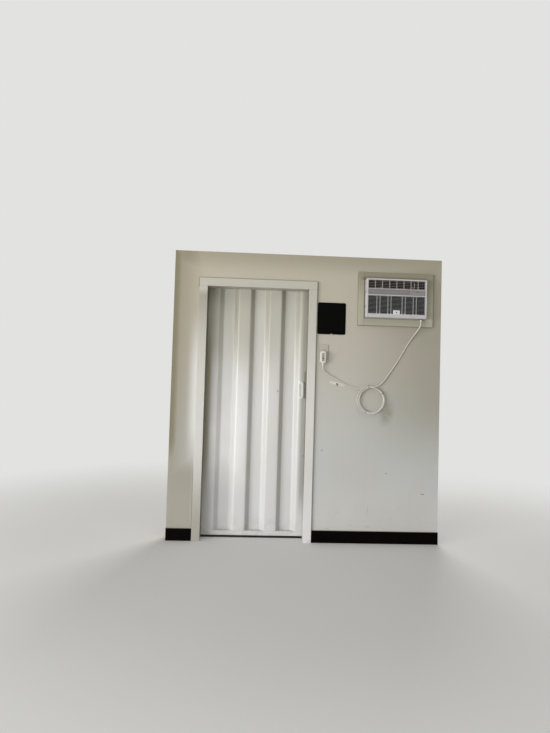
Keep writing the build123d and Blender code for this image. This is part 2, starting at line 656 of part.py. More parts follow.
def ac_front_window(z0, z1):
    """The hole through the front for a grille."""
    half = AC_GRILLE_WIDTH / 2
    return block(AC_CENTRE_X - half, AC_CENTRE_X + half, AC_FRONT_FACE - 1, AC_FRONT_BACK, z0, z1)


def ac_front():
    """Moulded front with its rounded rim, two grille openings and a control band between them."""
    body = extrude(ac_plane(AC_FRONT_FACE) * ac_section(AC_FRONT_WIDTH, AC_FRONT_HEIGHT, AC_FRONT_CORNER),
                   AC_FRONT_DEPTH)
    body = fillet(body.faces().sort_by(Axis.Y)[0].edges(), AC_FRONT_ROUND)
    cavity = ac_section(AC_FRONT_WIDTH - 2 * AC_FRONT_WALL, AC_FRONT_HEIGHT - 2 * AC_FRONT_WALL,
                        AC_FRONT_CORNER - AC_FRONT_WALL)
    body -= extrude(ac_plane(AC_FRONT_FACE + AC_FRONT_WALL) * cavity, AC_FRONT_DEPTH)
    body -= ac_front_window(AC_DISCHARGE_BOTTOM, AC_DISCHARGE_TOP)
    body -= ac_front_window(AC_INTAKE_BOTTOM, AC_INTAKE_TOP)
    half = AC_GRILLE_WIDTH / 2
    band = block(AC_CENTRE_X - half, AC_CENTRE_X + half, AC_FRONT_FACE - 1, AC_FRONT_FACE + AC_BAND_RECESS,
                 AC_INTAKE_TOP + AC_BAND_BORDER, AC_DISCHARGE_BOTTOM - AC_BAND_BORDER / 2)
    return body - band


def grille_rim(z0, z1, depth):
    """Thin rim that seats a grille in its opening."""
    half = AC_GRILLE_WIDTH / 2
    y0 = AC_FRONT_FACE + AC_GRILLE_RECESS
    outer = block(AC_CENTRE_X - half, AC_CENTRE_X + half, y0, y0 + depth, z0, z1)
    inner = block(AC_CENTRE_X - half + AC_GRILLE_RIM, AC_CENTRE_X + half - AC_GRILLE_RIM,
                  y0 - 1, y0 + depth + 1, z0 + AC_GRILLE_RIM, z1 - AC_GRILLE_RIM)
    return outer - inner


def ac_discharge_grille():
    """Upper grille: upright bars crossed by tilted louvres."""
    grille = grille_rim(AC_DISCHARGE_BOTTOM, AC_DISCHARGE_TOP, DISCHARGE_DEPTH)
    y0 = AC_FRONT_FACE + AC_GRILLE_RECESS
    half = AC_GRILLE_WIDTH / 2
    cell = AC_GRILLE_WIDTH / (DISCHARGE_BARS + 1)
    for bar in range(1, DISCHARGE_BARS + 1):
        x = AC_CENTRE_X - half + bar * cell
        grille += block(x - DISCHARGE_BAR_THICKNESS / 2, x + DISCHARGE_BAR_THICKNESS / 2,
                        y0, y0 + DISCHARGE_DEPTH, AC_DISCHARGE_BOTTOM, AC_DISCHARGE_TOP)
    pitch = (AC_DISCHARGE_HEIGHT - 2 * AC_GRILLE_RIM) / DISCHARGE_LOUVRES
    blade_depth = DISCHARGE_DEPTH - AC_GRILLE_RIM
    for louvre in range(DISCHARGE_LOUVRES):
        z = AC_DISCHARGE_BOTTOM + AC_GRILLE_RIM + (louvre + 0.5) * pitch
        place = Pos(AC_CENTRE_X, y0 + DISCHARGE_DEPTH / 2, z) * Rot(DISCHARGE_TILT, 0, 0)
        grille += place * Box(AC_GRILLE_WIDTH - AC_GRILLE_RIM, blade_depth, DISCHARGE_LOUVRE_THICKNESS)
    return grille


def ac_intake_grille():
    """Lower grille: level slats behind pairs of shallow upright posts, with a pull tab."""
    grille = grille_rim(AC_INTAKE_BOTTOM, AC_INTAKE_TOP, INTAKE_DEPTH)
    y0 = AC_FRONT_FACE + AC_GRILLE_RECESS
    half = AC_GRILLE_WIDTH / 2
    pitch = (AC_INTAKE_HEIGHT - 2 * AC_GRILLE_RIM) / INTAKE_SLATS
    for slat in range(INTAKE_SLATS):
        z = AC_INTAKE_BOTTOM + AC_GRILLE_RIM + (slat + 0.5) * pitch
        grille += block(AC_CENTRE_X - half, AC_CENTRE_X + half, y0 + INTAKE_POST_PROUD, y0 + INTAKE_DEPTH,
                        z - INTAKE_SLAT_THICKNESS / 2, z + INTAKE_SLAT_THICKNESS / 2)
    for share in INTAKE_PAIR_SHARES:
        for offset in (share * half - INTAKE_POST_SPACING / 2, share * half + INTAKE_POST_SPACING / 2):
            for x in (AC_CENTRE_X - offset, AC_CENTRE_X + offset):
                grille += block(x - INTAKE_POST_WIDTH / 2, x + INTAKE_POST_WIDTH / 2,
                                y0, y0 + INTAKE_POST_PROUD, AC_INTAKE_BOTTOM, AC_INTAKE_TOP)
    grille += block(AC_CENTRE_X - INTAKE_TAB_WIDTH / 2, AC_CENTRE_X + INTAKE_TAB_WIDTH / 2,
                    y0, y0 + INTAKE_POST_PROUD, AC_INTAKE_BOTTOM, AC_INTAKE_BOTTOM + INTAKE_TAB_HEIGHT)
    return grille


def ac_baffle():
    """Dark plate behind both grilles."""
    y0 = AC_FRONT_FACE + AC_GRILLE_RECESS + DISCHARGE_DEPTH
    outline = ac_section(AC_FRONT_WIDTH - 2 * AC_FRONT_WALL, AC_FRONT_HEIGHT - 4 * AC_FRONT_WALL,
                         AC_FRONT_CORNER - AC_FRONT_WALL)
    return extrude(ac_plane(y0) * outline, AC_BAFFLE_THICKNESS)


def ac_trim_sides():
    bottom = AC_OPEN_BOTTOM - AC_TRIM_BOTTOM
    top = AC_OPEN_TOP + AC_TRIM_TOP
    left = board(AC_OPEN_LEFT - AC_TRIM_LEFT, AC_OPEN_LEFT, CASING_FACE, LINING_FACE,
                 bottom, top, Axis.Z, CASING_EASE)
    right = board(AC_OPEN_RIGHT, AC_OPEN_RIGHT + AC_TRIM_RIGHT, CASING_FACE, LINING_FACE,
                  bottom, top, Axis.Z, CASING_EASE)
    return Compound([left, right])


def ac_trim_rails():
    under = board(AC_OPEN_LEFT, AC_OPEN_RIGHT, CASING_FACE, LINING_FACE,
                  AC_OPEN_BOTTOM - AC_TRIM_BOTTOM, AC_OPEN_BOTTOM, Axis.X, CASING_EASE)
    over = board(AC_OPEN_LEFT, AC_OPEN_RIGHT, CASING_FACE, LINING_FACE,
                 AC_OPEN_TOP, AC_OPEN_TOP + AC_TRIM_TOP, Axis.X, CASING_EASE)
    return Compound([under, over])


# Breaker panel and outlet

def panel_plane(y):
    """Plane across the breaker panel at y, that looks into the room."""
    return Plane((PANEL_LEFT + PANEL_WIDTH / 2, y, PANEL_BOTTOM + PANEL_HEIGHT / 2),
                 x_dir=(1, 0, 0), z_dir=(0, -1, 0))


def breaker_box():
    """Steel box set back in the wall, open to the room."""
    width = PANEL_WIDTH - 2 * PANEL_BOX_BORDER
    height = PANEL_HEIGHT - 2 * PANEL_BOX_BORDER
    box = extrude(panel_plane(LINING_FACE + PANEL_BOX_DEPTH) * Rectangle(width, height), PANEL_BOX_DEPTH)
    inside = Rectangle(width - 2 * PANEL_BOX_WALL, height - 2 * PANEL_BOX_WALL)
    return box - extrude(panel_plane(LINING_FACE + PANEL_BOX_DEPTH - PANEL_BOX_WALL) * inside, PANEL_BOX_DEPTH)


def breaker_cover():
    """Cover plate with a shallow raised door. Both have a finger notch at their foot."""
    plate = extrude(panel_plane(LINING_FACE) * RectangleRounded(PANEL_WIDTH, PANEL_HEIGHT, PANEL_CORNER),
                    PANEL_COVER_THICKNESS)
    plate = chamfer(plate.faces().sort_by(Axis.Y)[0].edges(), PANEL_DOOR_EASE)
    foot = panel_plane(LINING_FACE + 1) * Pos(0, -PANEL_HEIGHT / 2, 0)
    plate -= extrude(foot * Circle(PANEL_NOTCH_RADIUS), PANEL_COVER_THICKNESS + 2)
    width = PANEL_WIDTH - 2 * PANEL_DOOR_BORDER
    height = PANEL_HEIGHT - 2 * PANEL_DOOR_BORDER
    corner = PANEL_CORNER - PANEL_DOOR_EASE
    door = extrude(panel_plane(LINING_FACE) * RectangleRounded(width, height, corner),
                   PANEL_COVER_THICKNESS + PANEL_DOOR_PROUD)
    door = chamfer(door.faces().sort_by(Axis.Y)[0].edges(), PANEL_DOOR_EASE)
    notch_centre = panel_plane(LINING_FACE - PANEL_COVER_THICKNESS) * Pos(0, -height / 2, 0)
    notch = extrude(notch_centre * Circle(PANEL_NOTCH_RADIUS), PANEL_DOOR_PROUD + 1)
    return plate + (door - notch)


def outlet_box():
    half_width = OUTLET_BOX_WIDTH / 2
    half_height = OUTLET_BOX_HEIGHT / 2
    return block(OUTLET_X - half_width, OUTLET_X + half_width, LINING_FACE, LINING_FACE + OUTLET_BOX_DEPTH,
                 OUTLET_Z - half_height, OUTLET_Z + half_height)


def outlet_plate():
    """Cover plate with its two socket faces standing slightly proud."""
    face = Plane((OUTLET_X, LINING_FACE, OUTLET_Z), x_dir=(1, 0, 0), z_dir=(0, -1, 0))
    outline = RectangleRounded(OUTLET_PLATE_WIDTH, OUTLET_PLATE_HEIGHT, OUTLET_PLATE_CORNER)
    plate = extrude(face * outline, OUTLET_PLATE_THICKNESS)
    plate = chamfer(plate.faces().sort_by(Axis.Y)[0].edges(), OUTLET_PLATE_EASE)
    for side in (-1, 1):
        middle = face * Pos(0, side * OUTLET_SOCKET_SPACING / 2, 0)
        flat_top = Rectangle(2 * OUTLET_SOCKET_RADIUS, OUTLET_SOCKET_HEIGHT)
        socket = Circle(OUTLET_SOCKET_RADIUS) & flat_top
        plate += extrude(middle * socket, OUTLET_PLATE_THICKNESS + OUTLET_SOCKET_PROUD)
    return plate


# Plug and lead

def relief(x, y, z0, z1):
    """Tapered strain relief on the lead, upright, with its wide end at the top."""
    body = extrude(Plane((x, y, z0)) * RegularPolygon(CORD_DIAMETER, RELIEF_SIDES), z1 - z0)
    foot = body.faces().sort_by(Axis.Z)[0]
    inset = CORD_DIAMETER / 2 - RELIEF_WALL
    return chamfer(foot.edges(), inset, z1 - z0 - RELIEF_COLLAR, reference=foot)


def plug():
    """Moulded plug body against the outlet, with its two buttons and a relief where the lead enters."""
    back = LINING_FACE - OUTLET_PLATE_THICKNESS - OUTLET_SOCKET_PROUD
    body_bottom = PLUG_BOTTOM + RELIEF_LENGTH
    centre = (PLUG_X, back, body_bottom + PLUG_HEIGHT / 2)
    face = Plane(centre, x_dir=(1, 0, 0), z_dir=(0, -1, 0))
    body = extrude(face * RectangleRounded(PLUG_WIDTH, PLUG_HEIGHT, PLUG_CORNER), PLUG_DEPTH)
    body = chamfer(body.faces().sort_by(Axis.Y)[0].edges(), PLUG_ROUND)
    for side in (-1, 1):
        button = face * Pos(0, side * PLUG_BUTTON_SPACING / 2, 0)
        body += extrude(button * Rectangle(PLUG_BUTTON_WIDTH, PLUG_BUTTON_HEIGHT),
                        PLUG_DEPTH + PLUG_BUTTON_PROUD)
    return body + relief(PLUG_X, CORD_LOWER_ROUTE[-1][1], PLUG_BOTTOM, body_bottom + PLUG_ROUND)


def cord_relief():
    """Relief under the air conditioner's front, where the lead comes out."""
    x = AC_CENTRE_X + AC_FRONT_WIDTH / 2 - AC_RELIEF_FROM_RIGHT
    y = AC_FRONT_FACE + AC_RELIEF_FROM_FACE
    return relief(x, y, AC_FRONT_BOTTOM - AC_RELIEF_LENGTH, AC_FRONT_BOTTOM)


def cord_coil():
    """The outer shape of the tied turns of spare lead, flat against the wall."""
    half = COIL_THICKNESS / 2
    wall = Plane((COIL_CENTRE_X, LINING_FACE, COIL_CENTRE_Z), z_dir=(0, -1, 0))
    outline = RegularPolygon(COIL_RADIUS + half, COIL_SIDES) - RegularPolygon(COIL_RADIUS - half, COIL_SIDES)
    ring = extrude(wall * outline, COIL_THICKNESS)
    return chamfer(ring.faces().filter_by(Axis.Y).edges(), COIL_EASE)


NODES = {
    "sill_bar": sill_bar(),
    "top_rail": top_rail(),
    "jamb_tubes": Compound([jamb_tube(JAMB_LEFT - JAMB_TUBE_WIDTH), jamb_tube(JAMB_RIGHT)]),
    "head_tube": head_tube(),
    "skin_left": skin_sheet(WALL_LEFT, JAMB_LEFT - JAMB_TUBE_WIDTH, SILL_THICKNESS, TOP_RAIL_BOTTOM),
    "skin_over_door": skin_sheet(JAMB_LEFT, JAMB_RIGHT, HEAD_TUBE_TOP, TOP_RAIL_BOTTOM),
    "skin_middle": skin_sheet(JAMB_RIGHT + JAMB_TUBE_WIDTH, AC_FRAME_LEFT, SILL_THICKNESS, TOP_RAIL_BOTTOM),
    "skin_at_ac": skin_at_ac(),
    "skin_right": skin_sheet(AC_FRAME_RIGHT, WALL_RIGHT, SILL_THICKNESS, TOP_RAIL_BOTTOM),
    "ac_steel_frame": ac_steel_frame(),
    "bottom_plates": bottom_plates(),
    "top_plate": top_plate(),
    "end_studs": end_studs(),
    "jamb_studs": jamb_studs(),
    "door_header": door_header(),
    "service_studs": service_studs(),
    "ac_cradle": ac_cradle(),
    "lining_left": lining_piece(WALL_LEFT, ROUGH_LEFT, 0, WALL_HEIGHT),
    "lining_over_door": lining_piece(ROUGH_LEFT, ROUGH_RIGHT, ROUGH_TOP, WALL_HEIGHT),
    "lining_right": lining_right(),
    "door_liner_sides": Compound([liner_side(ROUGH_LEFT), liner_side(LINER_RIGHT)]),
    "door_liner_head": liner_head(),
    "casing_left": casing_leg(DOOR_LEFT - CASING_WIDTH),
    "casing_right": casing_leg(DOOR_RIGHT),
    "casing_head": casing_head(),
    "base_board_left": base_board(WALL_LEFT, DOOR_LEFT - CASING_WIDTH),
    "base_board_right": base_board(DOOR_RIGHT + CASING_WIDTH, WALL_RIGHT),
    "hinge_jamb_halves": Compound([hinge_jamb_half(z) for z in HINGE_HEIGHTS]),
    "hinge_leaf_halves": Compound([hinge_leaf_half(z) for z in HINGE_HEIGHTS]),
    "leaf_panel": leaf_panel(),
    "leaf_stiles": leaf_stiles(),
    "leaf_rails": leaf_rails(),
    "pull_inside": door_pull(DOOR_RIGHT - PULL_FROM_CLEAR_EDGE, -CORRUGATION_DEPTH / 2, -1,
                             INSIDE_FOOT_WIDTH, INSIDE_FOOT_SHIFT),
    "pull_outside": door_pull(LEAF_RIGHT - LEAF_STILE_WIDTH / 2, STEEL_OUTER, 1, PULL_FOOT_WIDTH, 0),
    "latch_strip": latch_strip(),
    "ac_case": ac_case(),
    "ac_condenser": ac_condenser(),
    "ac_front": ac_front(),
    "ac_discharge_grille": ac_discharge_grille(),
    "ac_intake_grille": ac_intake_grille(),
    "ac_baffle": ac_baffle(),
    "ac_trim_sides": ac_trim_sides(),
    "ac_trim_rails": ac_trim_rails(),
    "breaker_box": breaker_box(),
    "breaker_cover": breaker_cover(),
    "outlet_box": outlet_box(),
    "outlet_plate": outlet_plate(),
    "plug": plug(),
    "cord_relief": cord_relief(),
    "cord_upper": cord_tube(CORD_UPPER_ROUTE, "cord_upper"),
    "cord_coil": cord_coil(),
    "cord_lower": cord_tube(CORD_LOWER_ROUTE, "cord_lower"),
}

os.makedirs("parts", exist_ok=True)
for name, solid in NODES.items():
    export_step(solid, f"parts/{name}.step")
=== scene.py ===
import json
import math

import bmesh
import bpy
from mathutils import Matrix, Vector


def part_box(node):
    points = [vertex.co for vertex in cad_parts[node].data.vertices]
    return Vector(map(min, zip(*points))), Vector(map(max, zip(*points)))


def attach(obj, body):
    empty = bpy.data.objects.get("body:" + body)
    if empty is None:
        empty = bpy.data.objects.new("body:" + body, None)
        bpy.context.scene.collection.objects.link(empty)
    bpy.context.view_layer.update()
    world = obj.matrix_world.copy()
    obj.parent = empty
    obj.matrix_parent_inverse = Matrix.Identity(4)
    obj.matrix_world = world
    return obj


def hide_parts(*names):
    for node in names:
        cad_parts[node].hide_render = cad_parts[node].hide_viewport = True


# Looks for the lined end wall of a site cabin with its door.
# Metres, in the part's own frame: +X right as seen from the room, +Y out of the cabin, +Z up.

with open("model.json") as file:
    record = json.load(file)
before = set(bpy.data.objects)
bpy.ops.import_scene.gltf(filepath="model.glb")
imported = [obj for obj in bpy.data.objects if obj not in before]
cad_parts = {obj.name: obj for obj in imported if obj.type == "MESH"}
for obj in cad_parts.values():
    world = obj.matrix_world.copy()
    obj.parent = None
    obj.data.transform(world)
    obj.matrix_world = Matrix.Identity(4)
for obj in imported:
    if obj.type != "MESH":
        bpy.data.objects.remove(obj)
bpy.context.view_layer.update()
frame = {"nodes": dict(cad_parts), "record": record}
nodes = frame["nodes"]
scene = bpy.context.scene
scene.view_settings.view_transform = "Standard"


# Planes and lines taken from the frame

LINING_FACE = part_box("lining_right")[0].y
CASING_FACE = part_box("casing_left")[0].y
STEEL_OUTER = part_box("sill_bar")[1].y
SILL_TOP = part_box("sill_bar")[1].z
WALL_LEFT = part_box("lining_left")[0].x
WALL_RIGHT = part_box("lining_right")[1].x
WALL_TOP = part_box("lining_right")[1].z
DOOR_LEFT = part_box("casing_left")[1].x
DOOR_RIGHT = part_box("casing_right")[0].x
LEAF_LOW, LEAF_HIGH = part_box("leaf_stiles")
PANEL_LOW, PANEL_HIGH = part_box("leaf_panel")
FRONT_LOW, FRONT_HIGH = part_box("ac_front")
CASE_LOW, CASE_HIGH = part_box("ac_case")
TRIM_LOW, TRIM_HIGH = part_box("ac_trim_sides")
INTAKE_LOW, INTAKE_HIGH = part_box("ac_intake_grille")
INTAKE_MIDDLE = (INTAKE_LOW.x + INTAKE_HIGH.x) / 2
BLOW_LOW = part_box("ac_discharge_grille")[0]
COVER_LOW, COVER_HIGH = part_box("breaker_cover")
PLATE_LOW, PLATE_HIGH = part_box("outlet_plate")
PLUG_LOW, PLUG_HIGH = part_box("plug")
RELIEF_LOW, RELIEF_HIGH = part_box("cord_relief")
TAB_HEIGHT = 0.032
BUTTONS_Z = 1.450

INTO_ROOM = (0.0, -1.0, 0.0)
OUT_OF_CABIN = (0.0, 1.0, 0.0)

# The corrugation of the leaf's panel and of the skin
CORRUGATION_PITCH = 0.250
CORRUGATION_FROM_DOOR = 0.108
RIDGE_HALF = 0.061
RIDGE_START = DOOR_LEFT + CORRUGATION_FROM_DOOR
RIDGE_CENTRE = RIDGE_START + RIDGE_HALF
SKIN_SWING = 0.0218
SLOPE_RUN = 0.030
BEND_ROUNDING = 0.9
SHEET_THICKNESS = 0.002
SHEET_STEP = 0.0025
FLAT_HALF = 0.038
FLAT_MIDDLES = [RIDGE_CENTRE + CORRUGATION_PITCH * step for step in range(-1, 7)]
# Foot and top of the opening for the air conditioner
AC_OPENING = (1.773, 2.087)

# The lead of the air conditioner
LEAD_DIAMETER = 0.009
UPPER_ROUTE = [
    (0.886, -0.172, 1.749), (0.886, -0.172, 1.723), (0.872, -0.160, 1.694), (0.846, -0.144, 1.653),
    (0.814, -0.134, 1.603), (0.778, -0.1312, 1.541), (0.738, -0.1318, 1.469), (0.696, -0.132, 1.399),
    (0.650, -0.134, 1.332), (0.606, -0.138, 1.272), (0.563, -0.141, 1.232),
]
LOWER_ROUTE = [
    (0.490, -0.1325, 1.2262), (0.452, -0.1315, 1.216), (0.402, -0.1315, 1.210), (0.346, -0.1315, 1.223),
    (0.292, -0.1312, 1.249), (0.240, -0.1312, 1.278), (0.190, -0.133, 1.304), (0.150, -0.138, 1.325),
    (0.128, -0.144, 1.341), (0.118, -0.150, 1.360), (0.118, -0.150, 1.382),
]
COIL_CENTRE = (0.507, 1.123)
COIL_OUTER_RADIUS = 0.110
COIL_INNER_RADIUS = 0.0965
COIL_FRONT = -0.147
COIL_BACK = -0.1315
COIL_POINTS_A_TURN = 20
COIL_TURNS = 2
COIL_START_DEGREES = 80.0
COIL_LEAN = (0.003, -0.003)
# In turns: the even start, the arrival from above, and the dive, which starts so long before the end
EVEN_TURN = 0.35
ARRIVAL_TURN = 0.12
DIVE_BEFORE_END = 0.22
DIVE_TURN = 0.20
# How far the coil's radius is off while the lead arrives and dives
ARRIVAL_SHIFT = -0.005
DIVE_SHIFT = 0.007
TIE_DEGREES = (100.0, 31.0, 247.0)
TIE_STEPS = 20


# Camera

CAMERA_PLACE = (-0.4279, -4.0801, 1.2221)
CAMERA_RIGHT = (0.99859, -0.04427, 0.02914)
CAMERA_DOWN = (0.0307, 0.03499, -0.99892)
CAMERA_AHEAD = (0.0432, 0.99841, 0.0363)
LENS = 24.666
SENSOR = 36.0


def add_camera():
    data = bpy.data.cameras.new("camera")
    data.sensor_fit = "VERTICAL"
    data.sensor_height = SENSOR
    data.lens = LENS
    camera = link_object("camera", data)
    turn = Matrix((Vector(CAMERA_RIGHT), -Vector(CAMERA_DOWN), -Vector(CAMERA_AHEAD))).transposed().to_4x4()
    camera.matrix_world = Matrix.Translation(CAMERA_PLACE) @ turn
    scene.camera = camera


# Helpers for nodes, meshes and objects

def linear(red, green, blue):
    """A colour given as screen values from 0 to 255."""
    parts = []
    for value in (red, green, blue):
        share = value / 255
        parts.append(share / 12.92 if share < 0.04045 else ((share + 0.055) / 1.055) ** 2.4)
    return (*parts, 1.0)


def put(tree, kind, inputs=None, **settings):
    """Adds a node with settings and inputs, which are values or other nodes' outputs. Returns its outputs."""
    made = tree.nodes.new(kind)
    for name, value in settings.items():
        setattr(made, name, value)
    for socket, value in (inputs or {}).items():
        if isinstance(value, bpy.types.NodeSocket):
            tree.links.new(value, made.inputs[socket])
        else:
            made.inputs[socket].default_value = value
    return made.outputs


def link_object(name, data):
    made = bpy.data.objects.new(name, data)
    scene.collection.objects.link(made)
    return made


def plain_mesh(piece):
    """Turns what an object's modifiers or curve give into its plain mesh."""
    grown = piece.evaluated_get(bpy.context.evaluated_depsgraph_get())
    mesh = bpy.data.meshes.new_from_object(grown)
    name = piece.name
    if piece.type == "MESH":
        piece.modifiers.clear()
        piece.data = mesh
        return piece
    bpy.data.objects.remove(piece)
    return link_object(name, mesh)


def mesh_from(name, build):
    """A mesh object whose shape the function build writes into a bmesh."""
    mesh = bpy.data.meshes.new(name)
    shape = bmesh.new()
    build(shape)
    bmesh.ops.recalc_face_normals(shape, faces=shape.faces)
    shape.to_mesh(mesh)
    shape.free()
    return link_object(name, mesh)


def add_block(shape, low, high, ease):
    """A block between two corners, with its edges rounded by ease."""
    size = [b - a for a, b in zip(low, high)]
    middle = [(a + b) / 2 for a, b in zip(low, high)]
    place = Matrix.Translation(middle) @ Matrix.Diagonal((*size, 1))
    corners = bmesh.ops.create_cube(shape, size=1.0, matrix=place)["verts"]
    edges = list({edge for corner in corners for edge in corner.link_edges})
    bmesh.ops.bevel(shape, geom=edges, offset=ease, segments=2, affect="EDGES", profile=0.5)


def add_rod(shape, centre, direction, radius, length, sides):
    """A round rod that is centred on a point and lies along a direction."""
    turn = Vector((0, 0, 1)).rotation_difference(Vector(direction)).to_matrix().to_4x4()
    bmesh.ops.create_cone(shape, cap_ends=True, segments=sides, radius1=radius, radius2=radius, depth=length,
                          matrix=Matrix.Translation(centre) @ turn)


def swept(name, lines, radius, closed=False):
    """Round bars of one radius along lines of points, as a mesh."""
    data = bpy.data.curves.new(name, "CURVE")
    data.dimensions = "3D"
    data.bevel_depth = radius
    data.bevel_resolution = 2
    data.use_fill_caps = True
    for line in lines:
        spline = data.splines.new("POLY")
        spline.points.add(len(line) - 1)
        for point, place in zip(spline.points, line):
            point.co = (*place, 1.0)
        spline.use_cyclic_u = closed
    return plain_mesh(link_object(name, data))


def settle(piece, body="wall", material=None, smooth=False):
    """Gives a finished piece the body that it rides on and, where it has none yet, its material."""
    if material:
        piece.data.materials.clear()
        piece.data.materials.append(material)
    if smooth:
        for face in piece.data.polygons:
            face.use_smooth = True
    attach(piece, body)
    return piece


class Tree:
    """A tree of nodes in the making."""

    def add(self, kind, inputs=None, **settings):
        return put(self.tree, kind, inputs, **settings)

    def maths(self, operation, first, second=0.0, third=0.0):
        return self.add("ShaderNodeMath", {0: first, 1: second, 2: third}, operation=operation)[0]

    def vector(self, operation, first, second=(0.0, 0.0, 0.0)):
        """Arithmetic with vectors. To scale one, second is a plain number."""
        other = "Scale" if operation == "SCALE" else 1
        return self.add("ShaderNodeVectorMath", {0: first, other: second}, operation=operation)[0]


# Paints and surfaces. A colour in them is a pattern of nodes or three screen values from 0 to 255.

RUST_DARK = (82, 46, 28)
RUST_LIGHT = (150, 88, 48)


class Surface(Tree):
    """A material in the making: its shader, its place, the patterns that feed it and its paint so far."""

    def __init__(self, name, roughness=0.5, metallic=0.0, specular=0.5):
        self.material = bpy.data.materials.new(name)
        self.material.use_nodes = True
        self.tree = self.material.node_tree
        self.shader = self.tree.nodes["Principled BSDF"]
        values = {"Roughness": roughness, "Metallic": metallic, "Specular IOR Level": specular}
        for socket, value in values.items():
            self.shader.inputs[socket].default_value = value
        coordinates = self.add("ShaderNodeTexCoord")
        self.place = coordinates["Object"]
        self.axes = self.add("ShaderNodeSeparateXYZ", {0: self.place})
        self.normal = self.add("ShaderNodeSeparateXYZ", {0: coordinates["Normal"]})
        self.paint = None

    def stretched(self, scale):
        """The place, multiplied along each axis where a scale is given."""
        if scale is None:
            return self.place
        return self.add("ShaderNodeMapping", {"Vector": self.place, "Scale": scale})[0]

    def noise(self, scale=1.0, detail=4.0, roughness=0.55, stretch=None):
        """Noise from 0 to 1. Scale is in waves a metre, and stretch multiplies it along each axis."""
        inputs = {"Vector": self.stretched(stretch), "Scale": scale, "Detail": detail, "Roughness": roughness}
        return self.add("ShaderNodeTexNoise", inputs)["Fac"]

    def specks(self, scale, stretch=None):
        """Distance to the nearest of many scattered points."""
        inputs = {"Vector": self.stretched(stretch), "Scale": scale}
        return self.add("ShaderNodeTexVoronoi", inputs)["Distance"]

    def length(self, value):
        return self.add("ShaderNodeVectorMath", {0: value}, operation="LENGTH")["Value"]

    def times(self, *shares):
        product = shares[0]
        for share in shares[1:]:
            product = self.maths("MULTIPLY", product, share)
        return product

    def most(self, *shares):
        largest = shares[0]
        for share in shares[1:]:
            largest = self.maths("MAXIMUM", largest, share)
        return largest

    def spread(self, value, low, high, start=0.0, end=1.0):
        """The part of a value between low and high, as a smooth step from start to end."""
        if low > high:
            low, high, start, end = high, low, end, start
        inputs = {"Value": value, "From Min": low, "From Max": high, "To Min": start, "To Max": end}
        return self.add("ShaderNodeMapRange", inputs, interpolation_type="SMOOTHSTEP")["Result"]

    def along(self, axis, low, high, start=0.0, end=1.0):
        """A smooth step between two places on an axis."""
        return self.spread(self.axes[axis], low, high, start, end)

    def zone(self, *steps):
        """The product of smooth steps, each given by what along takes."""
        return self.times(*[self.along(*step) for step in steps])

    def turned(self, axis, low, high):
        """A smooth step by how far the surface faces along an axis."""
        return self.spread(self.normal[axis], low, high)

    def patches(self, low, high, scale=1.0, start=0.0, end=1.0, **kind):
        """A smooth step where a noise of some kind passes low to high."""
        return self.spread(self.noise(scale, **kind), low, high, start, end)

    def off(self, axis, middle):
        """Distance along an axis from a place on it."""
        return self.maths("ABSOLUTE", self.maths("SUBTRACT", self.axes[axis], middle))

    def beside(self, node, reach):
        """Nearness to a node, seen from the room: 1 at its outline and in it, 0 from reach outwards."""
        low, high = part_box(node)
        value = self.vector("SUBTRACT", self.place, ((low[0] + high[0]) / 2, 0.0, (low[2] + high[2]) / 2))
        value = self.vector("ABSOLUTE", self.vector("MULTIPLY", value, (1.0, 0.0, 1.0)))
        value = self.vector("SUBTRACT", value, ((high[0] - low[0]) / 2, 0.0, (high[2] - low[2]) / 2))
        return self.spread(self.length(self.vector("MAXIMUM", value)), reach, 0.0)

    def spot(self, centre, half, turn=0.0, soft=0.5):
        """An oval on the wall at a centre (x, z), with half its width and height: 1 up to soft, 0 outside."""
        place = {"Vector": self.place, "Location": (centre[0], 0.0, centre[1]), "Rotation": (0.0, turn, 0.0),
                 "Scale": (half[0], 1000.0, half[1])}
        local = self.add("ShaderNodeMapping", place, vector_type="TEXTURE")[0]
        return self.spread(self.length(local), 1.0, soft)

    def mixed_value(self, share, first, second):
        """A plain value that goes from first to second as share goes from 0 to 1."""
        return self.add("ShaderNodeMapRange", {"Value": share, "To Min": first, "To Max": second})["Result"]

    def mixed(self, share, first, second):
        """A colour that goes from first to second as share goes from 0 to 1."""
        inputs = {0: share}
        for socket, colour in ((6, first), (7, second)):
            inputs[socket] = linear(*colour) if isinstance(colour, tuple) else colour
        return self.add("ShaderNodeMix", inputs, data_type="RGBA")[2]

    def base(self, low, high, scale=1.0, **kind):
        """The first paint: two colours mixed by a noise."""
        self.paint = self.mixed(self.noise(scale, **kind), low, high)

    def coat(self, colour, *shares):
        """Covers the product of some shares of the paint with a colour."""
        self.paint = self.mixed(self.times(*shares), self.paint, colour)

    def rust(self, low, high, streak=(9, 9, 0.9), rough=None, metal=None):
        """Rust where a stretched noise passes low to high, with its own roughness. Returns its share."""
        share = self.patches(low, high, detail=8.0, roughness=0.65, stretch=[7 * part for part in streak])
        self.coat(self.mixed(self.noise(140.0, detail=3.0), RUST_DARK, RUST_LIGHT), share)
        if rough:
            self.rough(self.mixed_value(share, *rough))
        if metal:
            self.metal(self.mixed_value(share, *metal))
        return share

    def rough(self, value):
        self.tree.links.new(value, self.shader.inputs["Roughness"])

    def metal(self, value):
        self.tree.links.new(value, self.shader.inputs["Metallic"])

    def bumps(self, *layers):
        """Bump from layers of a height from 0 to 1 and its real depth in metres.

        A number as height is the scale of a noise, whose detail may follow the depth.
        """
        normal = None
        for height, depth, *detail in layers:
            if isinstance(height, float):
                height = self.noise(height, *detail)
            inputs = {"Height": height, "Distance": depth, "Strength": 1.0}
            if normal:
                inputs["Normal"] = normal
            normal = self.add("ShaderNodeBump", inputs)["Normal"]
        self.tree.links.new(normal, self.shader.inputs["Normal"])

